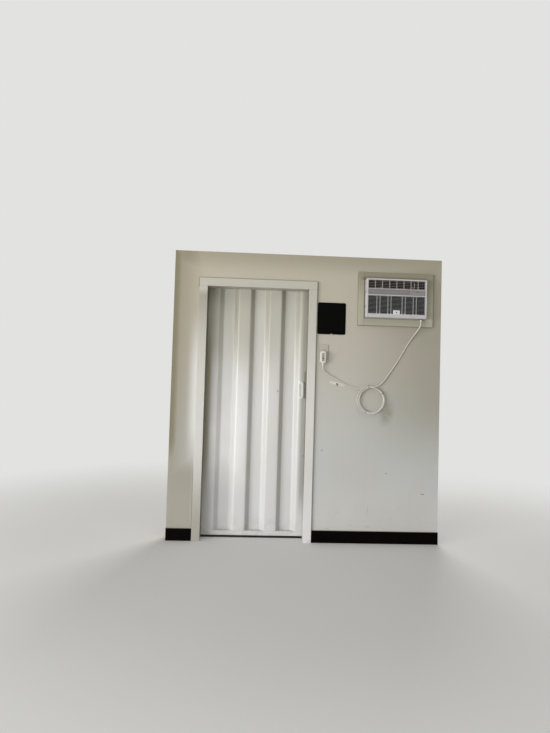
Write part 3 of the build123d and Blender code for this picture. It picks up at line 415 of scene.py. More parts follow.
    def finished(self):
        """Feeds the paint to the shader."""
        self.tree.links.new(self.paint, self.shader.inputs["Base Color"])
        return self.material


def bowed_flats(made):
    """How far each flat of the corrugated sheet bows, from 0 at its bends to 1 in its middle."""
    across = made.maths("SUBTRACT", made.axes["X"], RIDGE_CENTRE)
    turns = made.maths("DIVIDE", across, CORRUGATION_PITCH / 2)
    return made.spread(made.maths("COSINE", made.times(turns, 2 * math.pi)), -1.0, 1.0)


def weathered_cream(made):
    """Paints a surface cream, chalked and streaked by weather."""
    made.base((190, 186, 170), (204, 201, 188), 2.2, stretch=(1, 1, 0.5))
    made.coat((150, 141, 116), made.patches(0.45, 0.8, end=0.5, detail=6.0, stretch=(34, 34, 1.6)))


def leaf_paint():
    """Gloss white paint brushed on the door leaf, scuffed low down and dull outside.
    Painted light brightens its hinge side at mid height, with painted highlights on its slopes that face left
    low down;
    painted shade darkens its top, its hinge and closing sides, its slopes that face right and, near the top,
    its other slopes and its crests.
    """
    made = Surface("leaf_white_gloss", roughness=0.3)
    # Painted light: brightest on the hinge side at mid height, darker to the right and towards the foot.
    light_falloff = made.most(made.along("X", -0.70, -0.36), made.along("Z", 0.75, 0.30))
    made.paint = made.mixed(light_falloff, (238, 238, 239), (206, 206, 207))
    # Painted shade: darker towards the top.
    made.coat((188, 185, 177), made.along("Z", 0.7, 1.95))
    made.coat((200, 198, 182), made.patches(0.35, 0.7, 2.4, end=0.35, detail=2.0))
    scuffs = made.patches(0.68, 0.75, detail=7.0, roughness=0.7, stretch=(100, 100, 12))
    made.coat((124, 118, 102), scuffs, 0.4)
    made.coat((96, 82, 60), made.spread(made.specks(9.0), 0.030, 0.012), 0.45)
    nicks = made.most(made.spot((-0.225, 1.172), (0.006, 0.014)), made.spot((-0.007, 0.656), (0.007, 0.010)))
    made.coat((126, 118, 98), nicks, 0.7)
    foot = made.along("Z", 0.22, 0.03)
    made.coat((132, 124, 104), foot, made.patches(0.35, 0.7, 16.0, detail=6.0), 0.2)
    # Painted shade on the hinge side, where the casing's shadow falls.
    hinge_side_shade = made.zone(("X", PANEL_LOW.x + 0.066, PANEL_LOW.x + 0.026, 0.0, 0.78),
                           ("Z", 0.15, 0.75, 0.1, 1.0), ("Z", 1.35, 1.85, 1.0, 0.3))
    made.coat((124, 115, 78), hinge_side_shade)
    # Painted shade along the closing side.
    closing_side_shade = made.zone(("X", PANEL_HIGH.x - 0.062, PANEL_HIGH.x - 0.025, 0.0, 0.58),
                             ("Z", 0.12, 0.40, 0.1, 1.0))
    made.coat((126, 124, 116), closing_side_shade)
    # Painted highlight on slopes that face left, low down and towards the left.
    made.coat((226, 226, 223), made.turned("X", -0.05, -0.7), made.along("Z", 1.6, 1.2),
              made.along("X", -0.50, -0.20, 0.5, 0.25))
    # Painted shade on slopes that face right, and near the top on slopes that face left and on the crests.
    right_slopes = made.times(made.turned("X", 0.3, 0.75), made.along("X", -0.62, -0.40, 0.10, 0.34))
    left_slopes = made.times(made.turned("X", -0.15, -0.5), made.along("Z", 1.35, 1.85, 0.0, 0.38))
    crests = made.zone(("Y", PANEL_LOW.y + 0.024, PANEL_LOW.y + 0.006), ("Z", 1.22, 1.60),
                       ("X", -0.36, -0.16, 0.30, 0.12))
    made.coat((116, 113, 82), made.most(right_slopes, left_slopes, crests))
    inside = made.paint
    weathered_cream(made)
    made.rust(0.665, 0.73)
    outside = made.turned("Y", -0.05, 0.05)
    made.paint = made.mixed(outside, inside, made.paint)
    gloss = made.patches(0.3, 0.8, 6.0, 0.33, 0.39, detail=3.0)
    made.rough(made.mixed_value(outside, gloss, 0.6))
    made.bumps((bowed_flats(made), 0.0012), (made.noise(3.0, detail=0.0, stretch=(1, 1, 0.6)), 0.0008),
               (made.noise(detail=1.0, stretch=(200, 200, 7)), 0.00001))
    return made.finished()


def skin_paint():
    """Cream paint on the corrugated skin, chalked by weather, with rust at its foot and below its welds."""
    made = Surface("skin_cream_paint", roughness=0.55, specular=0.4)
    weathered_cream(made)
    made.coat((116, 102, 78), made.along("Z", 0.45, 0.0), made.patches(0.3, 0.7, 11.0, detail=7.0), 0.6)
    share = made.rust(0.665, 0.73)
    joints = made.most(made.along("Z", 2.10, 2.20), made.along("Z", 0.28, 0.02))
    joint_rust = made.times(joints, made.patches(0.53, 0.66, detail=8.0, roughness=0.65, stretch=(60, 60, 7)))
    made.coat(made.mixed(made.noise(120.0, detail=3.0), RUST_DARK, RUST_LIGHT), joint_rust, 0.75)
    made.rough(made.mixed_value(made.most(share, joint_rust), 0.5, 0.85))
    made.bumps((bowed_flats(made), 0.0010), (4.0, 0.0012, 2.0), (share, 0.0003))
    return made.finished()


def frame_steel(name="frame_steel_paint", low=(184, 180, 166), high=(200, 197, 186)):
    """Cream paint on the steel frame, dirty at the foot, with streaks of rust."""
    made = Surface(name, roughness=0.42)
    made.base(low, high, 3.0)
    made.coat((118, 104, 82), made.along("Z", 0.30, 0.0), 0.5)
    share = made.rust(0.655, 0.72, rough=(0.42, 0.85))
    made.bumps((320.0, 0.0001, 3.0), (share, 0.0003))
    return made.finished()


def sill_steel():
    """The flat sill: trodden bare and dark where the doorway is, cream and rusty beside it."""
    made = Surface("sill_trodden_steel", roughness=0.6, specular=0.2)
    made.base((176, 170, 152), (190, 185, 170), 3.0)
    share = made.rust(0.55, 0.66, rough=(0.55, 0.85))
    doorway = made.spread(made.off("X", (DOOR_LEFT + DOOR_RIGHT) / 2), 0.44, 0.42)
    made.coat(made.mixed(made.noise(40.0, detail=5.0), (22, 19, 15), (46, 40, 32)), doorway)
    made.bumps((140.0, 0.0002), (share, 0.0003))
    return made.finished()


def hinge_steel():
    """Worn steel of the hinges, dark in places, with rust."""
    made = Surface("hinge_steel_worn", roughness=0.45, metallic=0.85)
    made.base((122, 118, 112), (84, 80, 74), 90.0)
    share = made.rust(0.50, 0.66, (9, 9, 9), rough=(0.38, 0.8), metal=(0.85, 0.1))
    made.bumps((600.0, 0.00006, 3.0), (share, 0.0002))
    return made.finished()


def pine(name, grain_stretch):
    """Sawn pine. The stretch lays the grain on the board's length."""
    made = Surface(name, roughness=0.75, specular=0.3)
    rings = made.noise(22.0, detail=3.0, roughness=0.5, stretch=grain_stretch)
    grain = made.spread(made.maths("FRACT", made.times(rings, 9.0)), 0.0, 0.9)
    made.paint = made.mixed(grain, (190, 154, 104), (214, 184, 138))
    made.coat((112, 72, 42), made.spread(made.specks(3.1, grain_stretch), 0.10, 0.03), 0.8)
    made.coat((160, 140, 112), made.patches(0.45, 0.8, 2.5, end=0.5))
    made.bumps((grain, 0.00025), (made.noise(500.0, stretch=grain_stretch), 0.00015))
    return made.finished()


def wall_paint():
    """Matt cream paint rolled on plywood. Painted light makes it lighter low down and beside the left casing;
    it is darker and yellower towards the top, partly as painted shade, and painted shade darkens it by its
    ends, in the corners and in lines round the frames.
    """
    made = Surface("wall_cream_paint", roughness=0.8, specular=0.2)
    height = made.along("Z", 0.35, 2.15)
    # Painted light: lighter low down.
    made.paint = made.mixed(made.along("Z", 0.60, 0.15), (190, 192, 190), (200, 200, 197))
    # Darker and yellower towards the top, partly painted shade.
    made.coat((177, 172, 157), height)
    warm = made.patches(0.38, 0.62, 1.9, detail=2.0)
    made.coat(made.mixed(height, (189, 184, 178), (184, 172, 156)), warm, 0.35)
    made.coat((168, 160, 138), made.patches(0.5, 0.85, end=0.10, detail=5.0, stretch=(20, 9, 2)))
    # Painted shade at the top, towards the right end, by the left end, low beside the left casing and in the
    # corners.
    top_shade = made.along("Z", WALL_TOP - 0.20, WALL_TOP)
    right_shade = made.zone(("X", WALL_RIGHT - 0.85, WALL_RIGHT - 0.05), ("Z", 0.45, 1.15))
    left_shade = made.most(made.along("X", WALL_LEFT + 0.30, WALL_LEFT + 0.02),
                          made.zone(("X", -0.80, -0.90), ("Z", 0.78, 0.50)))
    corner_shade = made.most(
        made.zone(("X", WALL_LEFT + 0.11, WALL_LEFT + 0.015, 0.0, 0.92), ("Z", 0.45, 0.80, 0.3, 1.0)),
        made.zone(("X", -0.72, -0.98), ("Z", 2.02, 2.24, 0.0, 0.72)))
    dust_and_shade = made.most(made.times(top_shade, 0.45), made.times(right_shade, 0.40), made.times(left_shade, 0.58),
                     corner_shade)
    made.coat((122, 115, 92), dust_and_shade)
    casing_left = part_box("casing_left")[0].x
    # Painted light beside the left casing at mid height.
    lit_beside_casing = made.zone(("X", casing_left - 0.085, casing_left), ("X", -0.79, -0.80), ("Z", 0.50, 0.95),
                     ("Z", 1.85, 1.30))
    made.coat((230, 231, 230), lit_beside_casing, 0.55)
    # Painted shade in lines round the casing, the air conditioner's trim and the outlet plate.
    lines = made.most(
        made.times(made.beside("casing_head", 0.014), 0.8),
        made.times(made.beside("ac_trim_sides", 0.010), 0.5),
        made.times(made.beside("casing_right", 0.016), 0.35),
        made.times(made.beside("casing_left", 0.010), made.along("Z", 0.62, 0.45, 0.0, 0.9)),
        made.times(made.beside("outlet_plate", 0.007), 0.35))
    made.coat((112, 104, 82), lines)
    filler = made.times(made.spot((0.238, 1.245), (0.070, 0.013), turn=0.215, soft=0.85),
                        made.patches(0.25, 0.55, 70.0))
    made.coat((214, 212, 208), filler, 0.7)
    made.coat((120, 114, 100), made.spot((0.240, 1.238), (0.012, 0.016), soft=0.8), 0.55)
    # A darker patch right of the coil.
    darker_by_coil = made.spot((0.640, 1.020), (0.075, 0.140), turn=0.25, soft=0.1)
    made.coat((122, 122, 96), darker_by_coil, made.patches(0.3, 0.6, 24.0, start=0.6), 0.55)
    made.coat((212, 210, 206), made.spot((0.496, 0.258), (0.0035, 0.042)), 0.8)
    made.coat((120, 114, 100), made.spot((0.5015, 0.258), (0.0030, 0.040)), 0.55)
    scuffs = made.patches(0.62, 0.70, detail=6.0, stretch=(15, 30, 78))
    made.coat((116, 112, 104), scuffs, made.along("Z", 0.42, 0.08), 0.3)
    ply = 0.0048
    plies = made.spread(made.maths("FRACT", made.times(made.axes["Y"], 1 / ply)), 0.35, 0.65)
    raw = made.mixed(plies, (150, 112, 70), (206, 172, 122))
    made.paint = made.mixed(made.turned("Y", -0.4, -0.6), raw, made.paint)
    made.bumps((3.0, 0.0009, 1.0), (made.noise(420.0, detail=3.0, roughness=0.6), 0.00014),
               (made.spread(made.specks(42.0), 0.10, 0.02), 0.0002), (filler, 0.0004))
    made.rough(made.patches(0.3, 0.8, 12.0, 0.7, 0.88))
    return made.finished()


def boards_paint(name, low, high, top_shade_share=0.0):
    """Satin cream paint on planed boards, with small chips. Low and high are its colours by height:
    a darker high colour is painted shade at the top. Painted shade also darkens the left casing leg away from
    its middle, and painted light brightens the right casing's foot. A share given last paints shade at the
    top and round the air conditioner's front.
    """
    made = Surface(name, roughness=0.45, specular=0.4)
    made.paint = made.mixed(made.along("Z", 0.9, 2.1), low, high)
    made.coat((182, 174, 150), made.noise(9.0, detail=5.0), 0.25)
    chips = made.patches(0.715, 0.735, 60.0, detail=8.0, roughness=0.75)
    made.coat((150, 124, 88), chips, made.along("Z", 0.5, 0.0, 0.25, 1.0))
    ragged = made.spot((0.058, 0.006), (0.030, 0.024), soft=0.7)
    made.coat((92, 80, 62), ragged, made.patches(0.42, 0.52, 160.0), 0.8)
    made.coat((128, 120, 100), made.spot((0.013, 1.953), (0.006, 0.006)), 0.6)
    # Painted shade on the left casing leg, darker away from its middle.
    left_leg_shade = made.zone(("X", -0.79, -0.81), ("Z", 1.965, 1.90))
    from_middle = made.spread(made.off("Z", 1.1), 0.25, 1.0, 0.05, 0.5)
    made.coat((118, 112, 96), left_leg_shade, made.spread(from_middle, 0.0, 1.0, 0.12, 1.1))
    # Painted light on the foot of the right casing.
    made.coat((224, 225, 227), made.zone(("X", -0.10, 0.0), ("Z", 0.60, 0.10, 0.0, 0.6)))
    # Painted shade at the top, a painted shadow above the air conditioner's front and painted shade round its
    # edges.
    if top_shade_share:
        made.coat((116, 110, 86), made.along("Z", 1.9, 2.14, 0.0, top_shade_share))
        above = made.times(made.beside("ac_front", 0.036), made.along("Z", FRONT_HIGH.z - 0.01, FRONT_HIGH.z))
        below = made.times(made.beside("ac_front", 0.012), 0.4)
        made.coat((84, 76, 58), made.most(made.times(above, 0.75), below))
    made.rough(made.patches(0.3, 0.8, 40.0, 0.38, 0.52))
    made.bumps((made.noise(detail=2.0, stretch=(260, 260, 16)), 0.00008), (7.0, 0.0006, 2.0))
    return made.finished()


def black_base():
    """Satin black base board, dusty on top and scuffed along its face."""
    made = Surface("black_base_board", roughness=0.55, specular=0.03)
    made.base((3, 3, 2), (7, 6, 5), 14.0)
    scuffs = made.patches(0.66, 0.74, detail=8.0, roughness=0.7, stretch=(16, 26, 57))
    made.coat((92, 88, 80), scuffs, 0.18)
    made.coat((168, 162, 148), made.turned("Z", 0.6, 0.9), 0.75)
    made.coat((150, 146, 136), made.spread(made.specks(24.0), 0.04, 0.015), 0.2)
    made.rough(made.mixed_value(scuffs, 0.45, 0.75))
    made.bumps((300.0, 0.00010))
    return made.finished()


def ac_shell():
    """Off-white moulded plastic of the air conditioner's front, greyed, with a darker control band."""
    made = Surface("ac_shell_plastic", roughness=0.45, specular=0.4)
    made.base((181, 179, 180), (193, 190, 192), 5.0)
    made.coat((150, 146, 140), made.patches(0.45, 0.8, 38.0, end=0.3, detail=6.0))
    made.coat((140, 136, 128), made.turned("Z", 0.4, 0.8), 0.3)
    band = made.zone(("Z", INTAKE_HIGH.z + 0.0050, INTAKE_HIGH.z + 0.0062),
                     ("Z", BLOW_LOW.z - 0.0020, BLOW_LOW.z - 0.0032),
                     ("Y", FRONT_LOW.y + 0.0004, FRONT_LOW.y + 0.0010),
                     ("Y", FRONT_LOW.y + 0.0024, FRONT_LOW.y + 0.0016))
    made.coat((122, 118, 119), band)
    made.bumps((900.0, 0.00004, 2.0))
    return made.finished()


def ac_intake():
    """Slate slats behind lighter posts, which stand a little proud, with a white tab at the foot."""
    made = Surface("ac_intake_plastic", roughness=0.55, specular=0.3)
    made.base((99, 99, 103), (115, 114, 118), 60.0)
    made.coat((120, 117, 112), made.patches(0.5, 0.85, 90.0, end=0.35, detail=6.0))
    proud = made.along("Y", INTAKE_LOW.y + 0.0011, INTAKE_LOW.y + 0.0006)
    made.coat(made.mixed(made.noise(50.0), (138, 141, 138), (152, 154, 150)), proud)
    tab_top = INTAKE_LOW.z + TAB_HEIGHT
    made.coat((206, 212, 206), made.spread(made.off("X", INTAKE_MIDDLE), 0.0272, 0.0268),
              made.along("Z", tab_top + 0.0004, tab_top - 0.0002), proud)
    made.bumps((800.0, 0.00004))
    return made.finished()


def ac_blow():
    """Upper grille: pale bars in front of darker louvres."""
    made = Surface("ac_discharge_plastic", roughness=0.5, specular=0.3)
    made.base((148, 145, 140), (164, 161, 156), 60.0)
    front = made.along("Y", BLOW_LOW.y + 0.0022, BLOW_LOW.y + 0.0004)
    made.paint = made.mixed(front, (119, 111, 106), made.paint)
    made.coat((108, 102, 94), made.patches(0.5, 0.8, 120.0, end=0.4, detail=5.0))
    made.bumps((800.0, 0.00004))
    return made.finished()


def ac_metal():
    """Painted sheet-metal case, weathered where it stands out of the wall."""
    made = Surface("ac_case_paint", roughness=0.45)
    made.base((184, 183, 176), (196, 195, 189), 4.0)
    made.coat((132, 124, 106), made.patches(0.45, 0.8, end=0.55, detail=7.0, stretch=(12, 12, 5)))
    made.coat((112, 103, 84), made.turned("Z", 0.6, 0.9), made.patches(0.25, 0.7, 14.0, detail=6.0), 0.6)
    share = made.rust(0.67, 0.73, (8, 3, 8), rough=(0.45, 0.85))
    made.bumps((500.0, 0.00006), (share, 0.0002))
    return made.finished()


def coil_fins():
    """Thin aluminium fins, dull, and full of dust in places."""
    made = Surface("condenser_fins", roughness=0.42, metallic=0.8)
    made.base((120, 122, 124), (158, 160, 162), stretch=(30, 30, 6))
    dust_and_shade = made.patches(0.45, 0.75, 9.0, end=0.75, detail=7.0)
    made.coat((92, 86, 76), dust_and_shade)
    made.metal(made.mixed_value(dust_and_shade, 0.8, 0.1))
    made.rough(made.mixed_value(dust_and_shade, 0.4, 0.9))
    made.bumps((made.noise(stretch=(120, 120, 18)), 0.0003))
    return made.finished()


def panel_black():
    """Satin black paint of the breaker panel's cover, faintly scratched."""
    made = Surface("panel_black_paint", roughness=0.5, specular=0.03)
    made.base((3, 4, 3), (6, 7, 6), 20.0)
    scratches = made.patches(0.70, 0.74, detail=6.0, roughness=0.7, stretch=(240, 80, 32))
    made.coat((70, 72, 72), scratches, 0.15)
    made.rough(made.patches(0.3, 0.7, 16.0, 0.4, 0.55))
    made.bumps((700.0, 0.00006, 2.0))
    return made.finished()


def box_metal():
    """Zinc-coated steel of the hidden boxes, with its crystal spangle."""
    made = Surface("box_zinc", roughness=0.45, metallic=0.9)
    spangle = made.add("ShaderNodeTexVoronoi", {"Vector": made.place, "Scale": 90.0})["Color"]
    flakes = made.add("ShaderNodeSeparateXYZ", {0: spangle})["X"]
    made.paint = made.mixed(flakes, (150, 152, 154), (188, 190, 192))
    made.bumps((200.0, 0.00005))
    return made.finished()


def outlet_plastic():
    """Ivory gloss plastic of the outlet's plate."""
    made = Surface("outlet_ivory", roughness=0.28, specular=0.4)
    made.base((168, 165, 150), (176, 173, 160), 30.0)
    made.rough(made.patches(0.3, 0.8, 60.0, 0.22, 0.38))
    made.bumps((400.0, 0.00004))
    return made.finished()


def lead_plastic():
    """White plastic of the lead, greyed by handling."""
    made = Surface("lead_white_plastic", roughness=0.4, specular=0.4)
    made.base((190, 187, 180), (204, 201, 195), 12.0)
    made.coat((146, 141, 128), made.patches(0.5, 0.85, 60.0, end=0.4, detail=6.0))
    made.bumps((700.0, 0.00005))
    return made.finished()


def plug_plastic():
    """White plastic of the plug, with a grey middle that carries its two buttons."""
    made = Surface("plug_white_plastic", roughness=0.36, specular=0.4)
    made.base((208, 205, 197), (221, 219, 212), 20.0)
    across = made.off("X", (PLUG_LOW.x + PLUG_HIGH.x) / 2)
    made.coat((148, 144, 134), made.spread(across, 0.0110, 0.0100),
              made.spread(made.off("Z", BUTTONS_Z), 0.0335, 0.0325),
              made.along("Y", PLUG_LOW.y + 0.0030, PLUG_LOW.y + 0.0022))
    upper = made.along("Z", BUTTONS_Z - 0.0005, BUTTONS_Z + 0.0005)
    made.coat(made.mixed(upper, (64, 60, 56), (150, 144, 132)), made.spread(across, 0.0063, 0.0060),
              made.along("Y", PLUG_LOW.y + 0.0012, PLUG_LOW.y + 0.0008))
    made.bumps((700.0, 0.00005))
    return made.finished()


def screw_steel():
    """Zinc screws, dull, with a little rust."""
    made = Surface("screw_zinc", roughness=0.4, metallic=0.85)
    made.paint = (128, 124, 116)
    made.rust(0.50, 0.64, (20, 20, 20), metal=(0.85, 0.1))
    made.bumps((900.0, 0.00004))
    return made.finished()


def caulk():
    """Pale sealing bead, smoothed by a finger and dirty."""
    made = Surface("caulk_pale", roughness=0.55, specular=0.4)
    made.paint = (196, 192, 178)
    made.coat((134, 126, 106), made.patches(0.4, 0.75, 24.0, end=0.6, detail=6.0))
    made.bumps((120.0, 0.0006, 3.0))
    return made.finished()


def plain(name, low, high, scale, fine, detail=4.0, **shader):
    """One uneven colour, with fine bumps."""
    made = Surface(name, **shader)
    made.base(low, high, scale, detail=detail)
    made.bumps(fine)
    return made.finished()


def dark_parts(name, low, high):
    """Dull plain colour of slots, holes, ties, small screws and the latch."""
    return plain(name, low, high, 200.0, (900.0, 0.00003), roughness=0.55, specular=0.2)


# Their darker high colours are painted shade at the top, and the liner's dark colours are painted shade all
# over.
TRIM_PAINT = boards_paint("trim_cream_paint", (211, 210, 207), (176, 175, 164))
LINER_PAINT = boards_paint("liner_shaded_paint", (124, 120, 102), (116, 111, 92))
AC_TRIM_PAINT = boards_paint("ac_trim_cream_paint", (180, 179, 168), (160, 157, 140), top_shade_share=0.62)
SKIN_PAINT = skin_paint()
PULL_PAINT = frame_steel("pull_worn_paint", (214, 213, 208), (224, 223, 219))
UPRIGHT_PINE = pine("pine_upright", (3, 3, 0.16))
LEVEL_PINE = pine("pine_level", (0.16, 3, 3))
SMALL_DARK = dark_parts("small_dark_parts", (20, 18, 16), (38, 34, 30))
# The latch strip: worn dark metal, partly painted shade.
LATCH_DARK = dark_parts("latch_worn_and_shaded", (130, 125, 116), (158, 152, 143))
AC_DARK = plain("ac_dark_plate", (16, 15, 15), (30, 28, 26), 40.0, (200.0, 0.0002),
                roughness=0.8, specular=0.1)
BAND_PLASTIC = plain("ac_band_plastic", (128, 123, 123), (138, 133, 132), 40.0, (900.0, 0.00004, 2.0),
                     detail=5.0, roughness=0.45, specular=0.4)
COPPER = plain("condenser_copper", (128, 78, 52), (168, 108, 76), 80.0, (300.0, 0.00005),
               roughness=0.4, metallic=0.9)
SCREW_STEEL = screw_steel()
CAULK = caulk()
PAINTS = {
    "cream_steel": leaf_paint(), "frame_steel": frame_steel(), "hinge_steel": hinge_steel(),
    "wall_paint": wall_paint(), "trim_paint": TRIM_PAINT, "black_base": black_base(),
    "ac_plastic": ac_shell(), "ac_dark": AC_DARK, "ac_metal": ac_metal(), "coil_fins": coil_fins(),
    "panel_black": panel_black(), "box_metal": box_metal(), "outlet_plastic": outlet_plastic(),
    "cord_plastic": lead_plastic(),
}
SPECIAL_PAINTS = {
    "ac_intake_grille": ac_intake(), "ac_discharge_grille": ac_blow(), "plug": plug_plastic(),
    "sill_bar": sill_steel(), "latch_strip": LATCH_DARK, "door_liner_sides": LINER_PAINT,
    "pull_inside": PULL_PAINT, "pull_outside": PULL_PAINT,
    "ac_trim_sides": AC_TRIM_PAINT, "ac_trim_rails": AC_TRIM_PAINT,
    "skin_left": SKIN_PAINT, "skin_over_door": SKIN_PAINT, "skin_middle": SKIN_PAINT,
    "skin_at_ac": SKIN_PAINT, "skin_right": SKIN_PAINT,
    "bottom_plates": LEVEL_PINE, "top_plate": LEVEL_PINE, "door_header": LEVEL_PINE, "ac_cradle": LEVEL_PINE,
    "end_studs": UPRIGHT_PINE, "jamb_studs": UPRIGHT_PINE, "service_studs": UPRIGHT_PINE,
}


def dress_cad_nodes():
    """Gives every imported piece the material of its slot, or its own."""
    for part in frame["record"]["subparts"]:
        name = part["node"]
        piece = nodes[name]
        piece.data.materials.clear()
        piece.data.materials.append(SPECIAL_PAINTS.get(name) or PAINTS[part["material_slot"]])


# Recipes of Geometry Nodes for what repeats

SOCKET_KINDS = {"size": "NodeSocketFloat", "count": "NodeSocketInt", "point": "NodeSocketVector"}


class Recipe(Tree):
    """A tree of Geometry Nodes in the making, with named inputs."""

    def __init__(self, name, **inputs):
        self.tree = bpy.data.node_groups.new(name, "GeometryNodeTree")
        sockets = self.tree.interface
        sockets.new_socket("Host", in_out="INPUT", socket_type="NodeSocketGeometry")
        for label, kind in inputs.items():
            sockets.new_socket(label, in_out="INPUT", socket_type=SOCKET_KINDS[kind])
        sockets.new_socket("Result", in_out="OUTPUT", socket_type="NodeSocketGeometry")
        self.given = self.tree.nodes.new("NodeGroupInput").outputs
        self.result = self.tree.nodes.new("NodeGroupOutput").inputs[0]
        self.finished = []

    def parts(self, vector):
        return self.add("ShaderNodeSeparateXYZ", {0: vector})

    def built(self, parts):
        """A vector from some of its parts, by their numbers 0 to 2."""
        return self.add("ShaderNodeCombineXYZ", parts)[0]

    def place(self, points, shape, **more):
        """Instances of a shape on points, with their rotation or scale where that is given."""
        return self.add("GeometryNodeInstanceOnPoints", {"Points": points, "Instance": shape, **more})[0]

    def shift(self, geometry, offset):
        return self.add("GeometryNodeSetPosition", {"Geometry": geometry, "Offset": offset})[0]

    def paint(self, instances, material):
        """Makes instances real and gives them a material."""
        real = self.add("GeometryNodeRealizeInstances", {0: instances})[0]
        self.finished.append(self.add("GeometryNodeSetMaterial", {"Geometry": real, "Material": material})[0])

    def joined(self, *geometries):
        joint = self.tree.nodes.new("GeometryNodeJoinGeometry")
        for geometry in geometries:
            self.tree.links.new(geometry, joint.inputs[0])
        return joint.outputs[0]

    def end(self):
        self.tree.links.new(self.joined(*self.finished), self.result)
        return self.tree


def made_by(tree, name, host, **sizes):
    """Runs a recipe on a host mesh and keeps the result as a plain mesh."""
    piece = link_object(name, host)
    growth = piece.modifiers.new("growth", "NODES")
    growth.node_group = tree
    for item in tree.interface.items_tree:
        if item.in_out == "INPUT" and item.name in sizes:
            growth[item.identifier] = sizes[item.name]
    return plain_mesh(piece)


def heads_recipe(material):
    """Low round heads on a host's points, turned to the points' aim, each with a cup for the driver."""
    made = Recipe("heads_" + material.name, radius="size", height="size", cup="size", seed="count")
    given = made.given

    def pushed(mesh, top, depth):
        inputs = {"Mesh": mesh, "Selection": top, "Offset Scale": depth}
        return made.add("GeometryNodeExtrudeMesh", inputs, mode="FACES")

    def shrunk(mesh, top, scale):
        return made.add("GeometryNodeScaleElements", {"Geometry": mesh, "Selection": top, "Scale": scale})[0]

    round_bar = {"Vertices": 14, "Radius": given["radius"], "Depth": given["height"]}
    disc = made.add("GeometryNodeMeshCylinder", round_bar)
    inner = pushed(shrunk(disc["Mesh"], disc["Top"], 0.8), disc["Top"], 0.0)
    narrow = shrunk(inner["Mesh"], inner["Top"], 0.5)
    cupped = pushed(narrow, inner["Top"], made.maths("MULTIPLY", given["cup"], -1.0))
    aim = made.add("GeometryNodeInputNamedAttribute", {"Name": "aim"}, data_type="FLOAT_VECTOR")["Attribute"]
    upright = made.add("FunctionNodeAlignRotationToVector", {"Vector": aim}, axis="Z")[0]
    draw = {"Min": 0.0, "Max": 6.283, "Seed": given["seed"]}
    angle = made.add("FunctionNodeRandomValue", draw, data_type="FLOAT")["Value"]
    spin = made.add("FunctionNodeAxisAngleToRotation", {"Axis": (0.0, 0.0, 1.0), "Angle": angle})[0]
    both = {"Rotation": upright, "Rotate By": spin}
    turned = made.add("FunctionNodeRotateRotation", both, rotation_space="LOCAL")[0]
    made.paint(made.place(given["Host"], cupped["Mesh"], Rotation=turned), material)
    return made.end()


def weld_recipe(material):
    """Weld beads: flat drops that overlap along the host's edges, a little uneven."""
    made = Recipe("weld_beads", step="size", radius="size", seed="count")
    given = made.given
    line = made.add("GeometryNodeMeshToCurve", {"Mesh": given["Host"]})[0]
    spaced = made.add("GeometryNodeResampleCurve", {"Curve": line, "Length": given["step"]}, mode="LENGTH")[0]
    ball = {"Segments": 8, "Rings": 5, "Radius": given["radius"]}
    drop = made.add("GeometryNodeMeshUVSphere", ball)["Mesh"]
    draw = {0: (0.9, 0.75, 0.75), 1: (1.25, 1.05, 1.05), "Seed": given["seed"]}
    swell = made.add("FunctionNodeRandomValue", draw, data_type="FLOAT_VECTOR")["Value"]
    tangent = made.add("GeometryNodeInputTangent")[0]
    lie = made.add("FunctionNodeAlignRotationToVector", {"Vector": tangent}, axis="X")[0]
    made.paint(made.place(spaced, drop, Rotation=lie, Scale=swell), material)
    return made.end()


def condenser_recipe(fin_material, tube_material):
    """A condenser between two corners: upright fins in a row, bent here and there, on level tubes."""
    made = Recipe("condenser_rows", low="point", high="point", fins="count", tubes="count",
                  thickness="size", bend="size", tube_radius="size", seed="count")
    given = made.given
    size = made.vector("SUBTRACT", given["high"], given["low"])
    extent = made.parts(size)
    middle = made.vector("SCALE", made.vector("ADD", given["low"], given["high"]), 0.5)
    halves = made.vector("SCALE", size, 0.5)

    def row(count, direction):
        """Points in a row across the box, from end to end along one axis."""
        reach = made.vector("MULTIPLY", halves, direction)
        ends = {"Count": count, "Start Location": made.vector("SUBTRACT", middle, reach),
                "Offset": made.vector("ADD", middle, reach)}
        return made.add("GeometryNodeMeshLine", ends, mode="END_POINTS")[0]

    plate = made.built({0: given["thickness"], 1: extent["Y"], 2: extent["Z"]})
    cuts = {"Size": plate, "Vertices X": 2, "Vertices Y": 2, "Vertices Z": 9}
    fin = made.add("GeometryNodeMeshCube", cuts)["Mesh"]
    fins = made.place(row(given["fins"], (0.985, 0.0, 0.0)), fin)
    real = made.add("GeometryNodeRealizeInstances", {0: fins})[0]
    where = made.vector("ADD", made.add("GeometryNodeInputPosition")[0], made.built({2: given["seed"]}))
    wave = made.add("ShaderNodeTexNoise", {"Vector": where, "Scale": 16.0, "Detail": 1.0})[0]
    bend = made.maths("MULTIPLY", made.maths("SUBTRACT", wave, 0.5), given["bend"])
    made.paint(made.shift(real, made.built({0: bend})), fin_material)
    round_bar = {"Vertices": 12, "Radius": given["tube_radius"], "Depth": extent["X"]}
    tube = made.add("GeometryNodeMeshCylinder", round_bar)["Mesh"]
    tubes = made.place(row(given["tubes"], (0.0, 0.0, 0.86)), tube, Rotation=(0.0, math.pi / 2, 0.0))
    made.paint(tubes, tube_material)
    return made.end()


